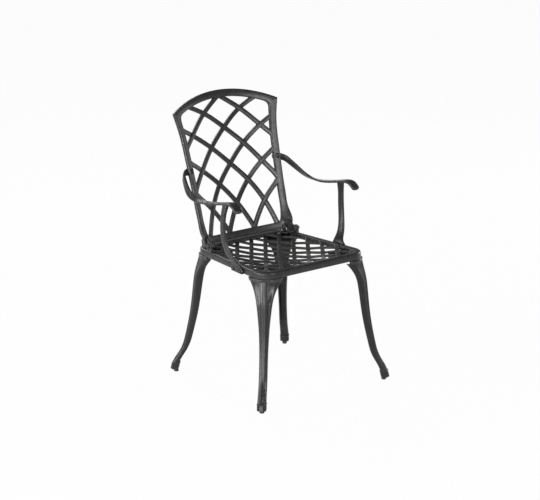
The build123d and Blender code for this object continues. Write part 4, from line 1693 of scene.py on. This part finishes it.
    def collar(self) -> list[Skin]:
        """Collar: two plates under the rim, each a circle cut off at its sides and at its inner end.

        Returns:
            The upper and the lower plate.
        """
        axes = self.plan.leg_axes(self.corner)
        centre = -self.plan.reach(self.corner) - self.plan.corner_radius
        skins = []
        for step in range(2):
            radius = self.plan.corner_radius + self.collar_overhang - step * self.collar_inset
            half = self.collar_width / 2 - step * self.collar_inset
            start = centre + self.collar_start
            turn = np.arcsin(half / radius)
            angle = np.linspace(-turn, turn, 60)
            arc = np.stack([centre + radius * np.cos(angle), radius * np.sin(angle)], axis=-1)
            side = np.linspace(arc[-1], (start + self.collar_chamfer, half), 8)[1:]
            end = np.array([(start, half - self.collar_chamfer), (start, self.collar_chamfer - half)])
            plan = np.concatenate([arc, side, end, side[::-1] * (1, -1)])
            high = self.rim_bottom - step * self.collar_step
            skins.append(slab(plan, high - self.collar_step, high, self.collar_edge, axes))
        return skins

    def shoe(self) -> list[Skin]:
        """Shoe: rounded level sections that run outwards as they go down, with a lip at the ankle.

        A raised panel slopes down the toe.

        Returns:
            The shoe and its panel.
        """
        axes = self.plan.leg_axes(self.corner)
        height, proud = np.array(self.shoe_outline).T
        share = 1.0 - height / self.shoe_height
        length = self.shoe_length - self.shoe_taper * share
        middle = (self.shoe_taper / 2 + self.toe_run) * share
        section = rounded_section(length + 2 * proud, self.shoe_width + 2 * proud, self.shoe_corner, 7)
        rows = axes.point(section[..., 0] + middle[:, None], section[..., 1], self.shoe_low + height[:, None])
        slope = np.radians(self.toe_slope)
        toe = Axes(
            axes.point(self.shoe_length / 2 - self.toe_sunk, 0.0, self.shoe_low + self.toe_panel[1] / 2),
            axes.y,
            np.cos(slope) * axes.z - np.sin(slope) * axes.x,
            np.cos(slope) * axes.x + np.sin(slope) * axes.z,
        )
        wide, tall = self.toe_panel
        panel = rounded_section(np.array([wide]), tall, 3.0, 6)[0]
        return [grid_skin(rows), slab(panel, -1.0, self.toe_proud, 1.2, toe)]

    def build(self, finishes: Finishes) -> None:
        """Makes the leg's piece and dresses it.

        Args:
            finishes: Materials of the chair.
        """
        name = "leg_" + self.corner.label
        skins = [self.body(), *self.collar(), *self.shoe()]
        place_piece(mesh_of(name + "_casting", skins), finishes.coat, [name])


@dataclass
class Glide:
    """Screw-in glide: rounded plastic plug with a stud up into the foot."""

    plan: SeatPlan
    corner: Corner
    radius: float = 8.0
    height: float = 9.0
    foot_radius: float = 3.0
    stud_radius: float = 4.0
    stud_length: float = 22.0

    def build(self, finishes: Finishes) -> None:
        """Makes the glide's piece, turned round its stud, and dresses it.

        Args:
            finishes: Materials of the chair.
        """
        turn, bend = quarter(7), self.foot_radius
        foot = np.stack([self.radius - bend * (1 - np.sin(turn)), bend * (1 - np.cos(turn))], axis=-1)
        rim, stud, top, end = self.radius, self.stud_radius, self.height, self.height + self.stud_length
        neck = [(rim, top - 2.2), (rim - 0.4, top - 1.7), (rim - 1.4, top - 1.4), (rim - 1.4, top)]
        shank = [(stud, top), (stud, end - 1.0), (stud - 1.0, end), (POLE, end)]
        profile = np.concatenate([[(POLE, 0.0), (2.5, 0.0)], foot, neck, shank])
        mesh = mesh_of("glide_" + self.corner.label + "_plug", [turned(profile, self.plan.leg_axes(self.corner))])
        place_piece(mesh, finishes.plastic, ["glide_" + self.corner.label], Body[self.corner.name])


@dataclass(frozen=True)
class BoltSize:
    """Sizes of one bolt with its washer and nut."""

    shank: float
    head: float
    head_height: float
    washer: float
    washer_thickness: float
    nut: float
    nut_height: float


LARGE = BoltSize(8.0, 14.0, 5.0, 18.0, 1.6, 13.0, 6.5)
SMALL = BoltSize(6.0, 11.0, 3.6, 13.0, 1.6, 10.0, 5.0)
BORE_GAP = 0.05


@dataclass
class Fasteners:
    """Bolts, washers and nuts of the chair's joints, turned round their axes."""

    plan: SeatPlan
    sheet: BackSheet
    lug: float = 8.0
    upstand: float = 9.0
    sunk: float = 6.0
    ear: float = 8.0
    plate: float = 9.0
    plate_behind: float = 138.0
    plate_step: float = 20.0
    plate_drop: float = 15.5
    rim_wall: float = 5.0
    collar_low: float = 401.5
    web_top: float = 421.5
    leg_in: float = 22.0
    leg_step: float = 26.0

    @staticmethod
    def bolt(size: BoltSize, axes: Axes, length: float) -> Skin:
        """Bolt: a domed head with a hexagon socket and a plain shank, as one profile round its axis.

        Args:
            size: The bolt's sizes.
            axes: Place under the head, z out of it.
            length: Length of the shank.

        Returns:
            The closed bolt.
        """
        high, rim, core = size.head_height, size.head / 2, size.shank / 2
        socket = 0.3 * size.shank
        dome = quarter(7)
        crown = np.stack([rim - 0.34 * rim * (1 - np.sin(dome)), high - 0.5 * high * (1 - np.cos(dome))], -1)
        well = [(POLE, 0.4 * high), (1.2 * socket, 0.4 * high), (1.2 * socket, high - 0.25), (1.28 * socket, high)]
        shank = [(core, 0.0), (core, 0.6 - length), (core - 0.6, -length), (POLE, -length)]
        profile = np.concatenate([well, crown, [(rim, 0.4), (rim - 0.4, 0.0)], shank])
        flats = np.zeros(len(profile), dtype=bool)
        flats[1:3] = True
        return turned(profile, axes, 48, flats, socket)

    @staticmethod
    def ring(section: Array, axes: Axes, apothem: float = np.inf) -> Skin:
        """Ring: a section of radius and height carried round an axis, and nowhere outside a hexagon.

        Args:
            section: Rows of radius and height, round the section.
            axes: Place of the ring's lower face.
            apothem: Distance of the hexagon's flats from the axis.

        Returns:
            The closed ring.
        """
        angle = around(48)[:, None]
        radius = np.minimum(section[:, 0], hexagon(angle, apothem))
        rows = axes.point(radius * np.cos(angle), radius * np.sin(angle), section[:, 1])
        return grid_skin(rows, ring_path=True)

    def washer(self, size: BoltSize, axes: Axes) -> Skin:
        """Washer: a flat ring with eased rims.

        Args:
            size: The bolt's sizes.
            axes: Place of its lower face.

        Returns:
            The closed ring.
        """
        rim, bore, high = size.washer / 2, size.shank / 2 + BORE_GAP, size.washer_thickness
        outside = [(rim - 0.3, 0.0), (rim, 0.3), (rim, high - 0.3), (rim - 0.3, high)]
        return self.ring(np.array([(bore, 0.0), *outside, (bore, high)]), axes)

    def nut(self, size: BoltSize, axes: Axes) -> Skin:
        """Nut: a hexagonal ring, chamfered by a cone at both ends.

        Args:
            size: The bolt's sizes.
            axes: Place of its lower face.

        Returns:
            The closed ring.
        """
        half, bore, high = size.nut / 2, size.shank / 2 + BORE_GAP, size.nut_height
        wide, face = 1.16 * half, 0.97 * half
        outside = [(face, 0.0), (wide, 1.1), (wide, high - 1.1), (face, high)]
        return self.ring(np.array([(bore, 0.0), *outside, (bore, high)]), axes, half)

    def upper(self, side: Side, depth: float) -> Axes:
        """Place of the stile's upper joint, a depth behind its front face."""
        return self.sheet.spot(self.sheet.upper_bolt, side, depth)

    def leg_axes(self, z: float) -> list[Axes]:
        """Places of the leg bolts at a height, z downwards.

        Args:
            z: Height above the floor.

        Returns:
            Two places per leg.
        """
        places = []
        for corner in Corner:
            leg = self.plan.leg_axes(corner)
            for step in (-self.leg_step, self.leg_step):
                origin = leg.point(-self.plan.reach(corner) - self.leg_in, step, z)
                places.append(Axes(origin, leg.x, -leg.y, -leg.z))
        return places

    def plate_axes(self, out: float) -> list[Axes]:
        """Places of the foot plates' bolts, a distance out from the seat's sides."""
        spots = [(side, self.plate_behind + step) for side in Side for step in (-self.plate_step, self.plate_step)]
        return [self.plan.side_axes(side, at, out, self.plan.height - self.plate_drop) for side, at in spots]

    def build(self, finishes: Finishes) -> None:
        """Makes each set of fasteners as one piece and dresses it.

        Args:
            finishes: Materials of the chair.
        """
        sheet, wash, high, small = self.sheet, LARGE.washer_thickness, LARGE.nut_height, SMALL.nut_height
        stack = sheet.thickness + self.lug
        tapped = sheet.thickness + self.upstand - self.sunk
        ears = sheet.cheek_thickness + self.ear
        under = self.collar_low - wash
        sets: dict[str, list[Skin]] = {
            "arm_back_bolts": [
                self.bolt(LARGE, self.upper(side, self.sunk), stack - self.sunk + wash + high) for side in Side
            ],
            "arm_back_washers": [self.washer(LARGE, self.upper(side, stack + wash)) for side in Side],
            "arm_back_nuts": [self.nut(LARGE, self.upper(side, stack + wash + high)) for side in Side],
            "back_front_bolts": [
                self.bolt(LARGE, sheet.spot(sheet.lower_bolt, side, self.sunk), tapped) for side in Side
            ],
            "back_side_bolts": [
                self.bolt(LARGE, sheet.ear_axes(side, ears + wash), ears + wash + high) for side in Side
            ],
            "back_side_washers": [self.washer(LARGE, sheet.ear_axes(side, ears)) for side in Side],
            "back_side_nuts": [self.nut(LARGE, sheet.ear_axes(side, -high)) for side in Side],
            "arm_seat_bolts": [
                self.bolt(SMALL, place, self.plate + self.rim_wall + small) for place in self.plate_axes(self.plate)
            ],
            "arm_seat_nuts": [self.nut(SMALL, place) for place in self.plate_axes(-self.rim_wall - small)],
            "leg_bolts": [self.bolt(SMALL, place, self.web_top - under) for place in self.leg_axes(under)],
            "leg_washers": [self.washer(SMALL, place) for place in self.leg_axes(self.collar_low)],
        }
        for name, skins in sets.items():
            place_piece(mesh_of(name + "_set", skins), finishes.steel, [name])


def heading(azimuth: float, elevation: float) -> Array:
    """Direction to a place by its degrees from straight ahead, towards the chair's left, and its degrees up."""
    a, e = np.radians([azimuth, elevation])
    return np.array([np.sin(a) * np.cos(e), -np.cos(a) * np.cos(e), np.sin(e)])


def put(name: str, data: bpy.types.ID, axes: Axes) -> bpy.types.Object:
    """New camera or lamp at a place, looking against z.

    Args:
        name: Name of the object.
        data: The camera or the lamp.
        axes: Its place, in metres.

    Returns:
        The linked object.
    """
    item = new_object(name, data)
    rows = np.stack([axes.x, axes.y, axes.z, axes.origin], axis=-1)
    item.matrix_world = Matrix([*rows.tolist(), (0.0, 0.0, 0.0, 1.0)])
    return item


@dataclass(frozen=True)
class Lamp:
    """Soft rectangular lamp.

    Its heading is in degrees, its distance and sizes are in metres, and a white floor has a glow of 1.
    """

    name: str
    azimuth: float
    elevation: float
    distance: float
    width: float
    height: float
    glow: float

    def build(self, target: Array) -> None:
        """Sets the lamp up, aimed at a target.

        Args:
            target: Point that it shines on.
        """
        data = bpy.data.lights.new(self.name, "AREA")
        data.shape = "RECTANGLE"
        data.size, data.size_y = self.width, self.height
        data.energy = self.glow * np.pi * self.width * self.height
        z = heading(self.azimuth, self.elevation)
        x = unit(np.cross(UP, z))
        put(self.name, data, Axes(target + self.distance * z, x, np.cross(z, x), z))


@dataclass
class Studio:
    """Pale floor, soft lamps and the camera at the photograph's angle, in metres and degrees."""

    azimuth: float = -38.27
    elevation: float = 15.95
    distance: float = 6.6
    focal: float = 135.08
    target: tuple[float, float, float] = (0.0, 0.0, 0.423)
    slide: float = -0.0036
    lift: float = 0.00275
    roll: float = -0.15
    floor_half: float = 60.0
    floor_grey: Colour = (0.35, 0.35, 0.35, 1.0)
    floor_white: float = 0.97
    sky_low: float = 0.98
    sky_fall: float = 0.86
    sky_edge: float = 0.12
    sky_rate: float = 12.0
    lamps: tuple[Lamp, ...] = (
        Lamp("front", 13.0, 17.0, 3.4, 0.9, 0.9, 13.0),
        Lamp("middle", -4.0, 16.0, 3.6, 0.9, 0.9, 30.0),
        Lamp("right", 66.0, 8.0, 3.2, 0.9, 0.9, 4.0),
        Lamp("right_side", 100.0, 20.0, 4.0, 1.6, 1.4, 12.0),
        Lamp("left", -108.0, 16.0, 4.0, 3.0, 2.3, 11.0),
        Lamp("left_low", -82.0, 4.0, 3.4, 1.4, 0.8, 26.0),
        Lamp("key", -58.0, 7.0, 7.5, 3.0, 2.4, 10.0),
        Lamp("key_low", -48.0, 1.0, 7.5, 5.0, 1.0, 6.0),
        Lamp("behind", 172.0, 34.0, 4.0, 2.4, 1.8, 8.0),
    )

    def camera(self) -> None:
        """Camera on a long lens, aimed a little beside the chair's middle and turned by the roll."""
        back = heading(self.azimuth, self.elevation)
        level = unit(np.cross(UP, back))
        steep = np.cross(back, level)
        roll = np.radians(self.roll)
        right, up = np.cos(roll) * level + np.sin(roll) * steep, np.cos(roll) * steep - np.sin(roll) * level
        data = bpy.data.cameras.new("camera")
        data.lens = self.focal
        data.sensor_width = 36.0
        data.sensor_fit = "HORIZONTAL"
        data.clip_end = 100.0
        origin = np.array(self.target) + self.slide * right + self.lift * up + self.distance * back
        bpy.context.scene.camera = put("camera", data, Axes(origin, right, up, back))

    def floor(self) -> None:
        """Large pale floor, near white to the camera, that keeps a soft shadow."""
        square = self.floor_half * np.array([(-1, -1, 0), (1, -1, 0), (1, 1, 0), (-1, 1, 0)])
        mesh = new_mesh("floor", square, [[0, 1, 2, 3]])
        material = bpy.data.materials.new("floor_white")
        bench = Bench(material)
        plain = bench.node("ShaderNodeBsdfDiffuse", {}, {"Color": self.floor_grey})
        white = bench.node("ShaderNodeEmission", {}, {"Color": WHITE, "Strength": 1.0})
        share = self.seen(bench) * self.floor_white
        bench.finish(bench.node("ShaderNodeMixShader", {}, {0: share, 1: plain, 2: white}))
        mesh.materials.append(material)
        new_object("floor", mesh)

    @staticmethod
    def seen(bench: Bench) -> Wire:
        """Share of rays that see the floor as white.

        Args:
            bench: Bench of the floor's material.

        Returns:
            One for rays from the camera, from gloss and through glass, else nought.
        """
        rays = ("Is Camera Ray", "Is Glossy Ray", "Is Transmission Ray")
        camera, gloss, glass = (bench.node("ShaderNodeLightPath", {}, {}, ray) for ray in rays)
        return (camera + gloss + glass).clipped()

    def sky(self) -> None:
        """Plain light from all round: white up to the horizon, fading to a dim grey above it."""
        world = bpy.data.worlds.new("sky")
        bpy.context.scene.world = world
        bench = Bench(world, "ShaderNodeOutputWorld")
        dim = ((bench.height("Generated") - self.sky_edge) * self.sky_rate).clipped()
        glow = self.sky_low - self.sky_fall * dim
        bench.finish(bench.node("ShaderNodeBackground", {}, {"Color": WHITE, "Strength": glow}))

    def build(self) -> None:
        """Sets up the whole studio."""
        bpy.context.scene.view_settings.view_transform = "Standard"
        self.camera()
        self.floor()
        self.sky()
        for lamp in self.lamps:
            lamp.build(np.array(self.target))


def main() -> None:
    """Builds the chair's castings, glides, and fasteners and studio."""
    logging.basicConfig(level=logging.INFO, format="%(name)s: %(message)s")
    finishes = Finishes.made()
    plan = SeatPlan()
    sheet = BackSheet(plan)
    SeatCasting(plan, sheet).build(finishes)
    BackCasting(plan, sheet).build(finishes)
    for side in Side:
        ArmCasting(plan, sheet, side).build(finishes)
    for corner in Corner:
        LegCasting(plan, corner).build(finishes)
        Glide(plan, corner).build(finishes)
    Fasteners(plan, sheet).build(finishes)
    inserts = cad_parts["glide_inserts"]
    inserts.data.materials.clear()
    inserts.data.materials.append(finishes.brass)
    Studio().build()


if __name__ == "__main__":
    main()
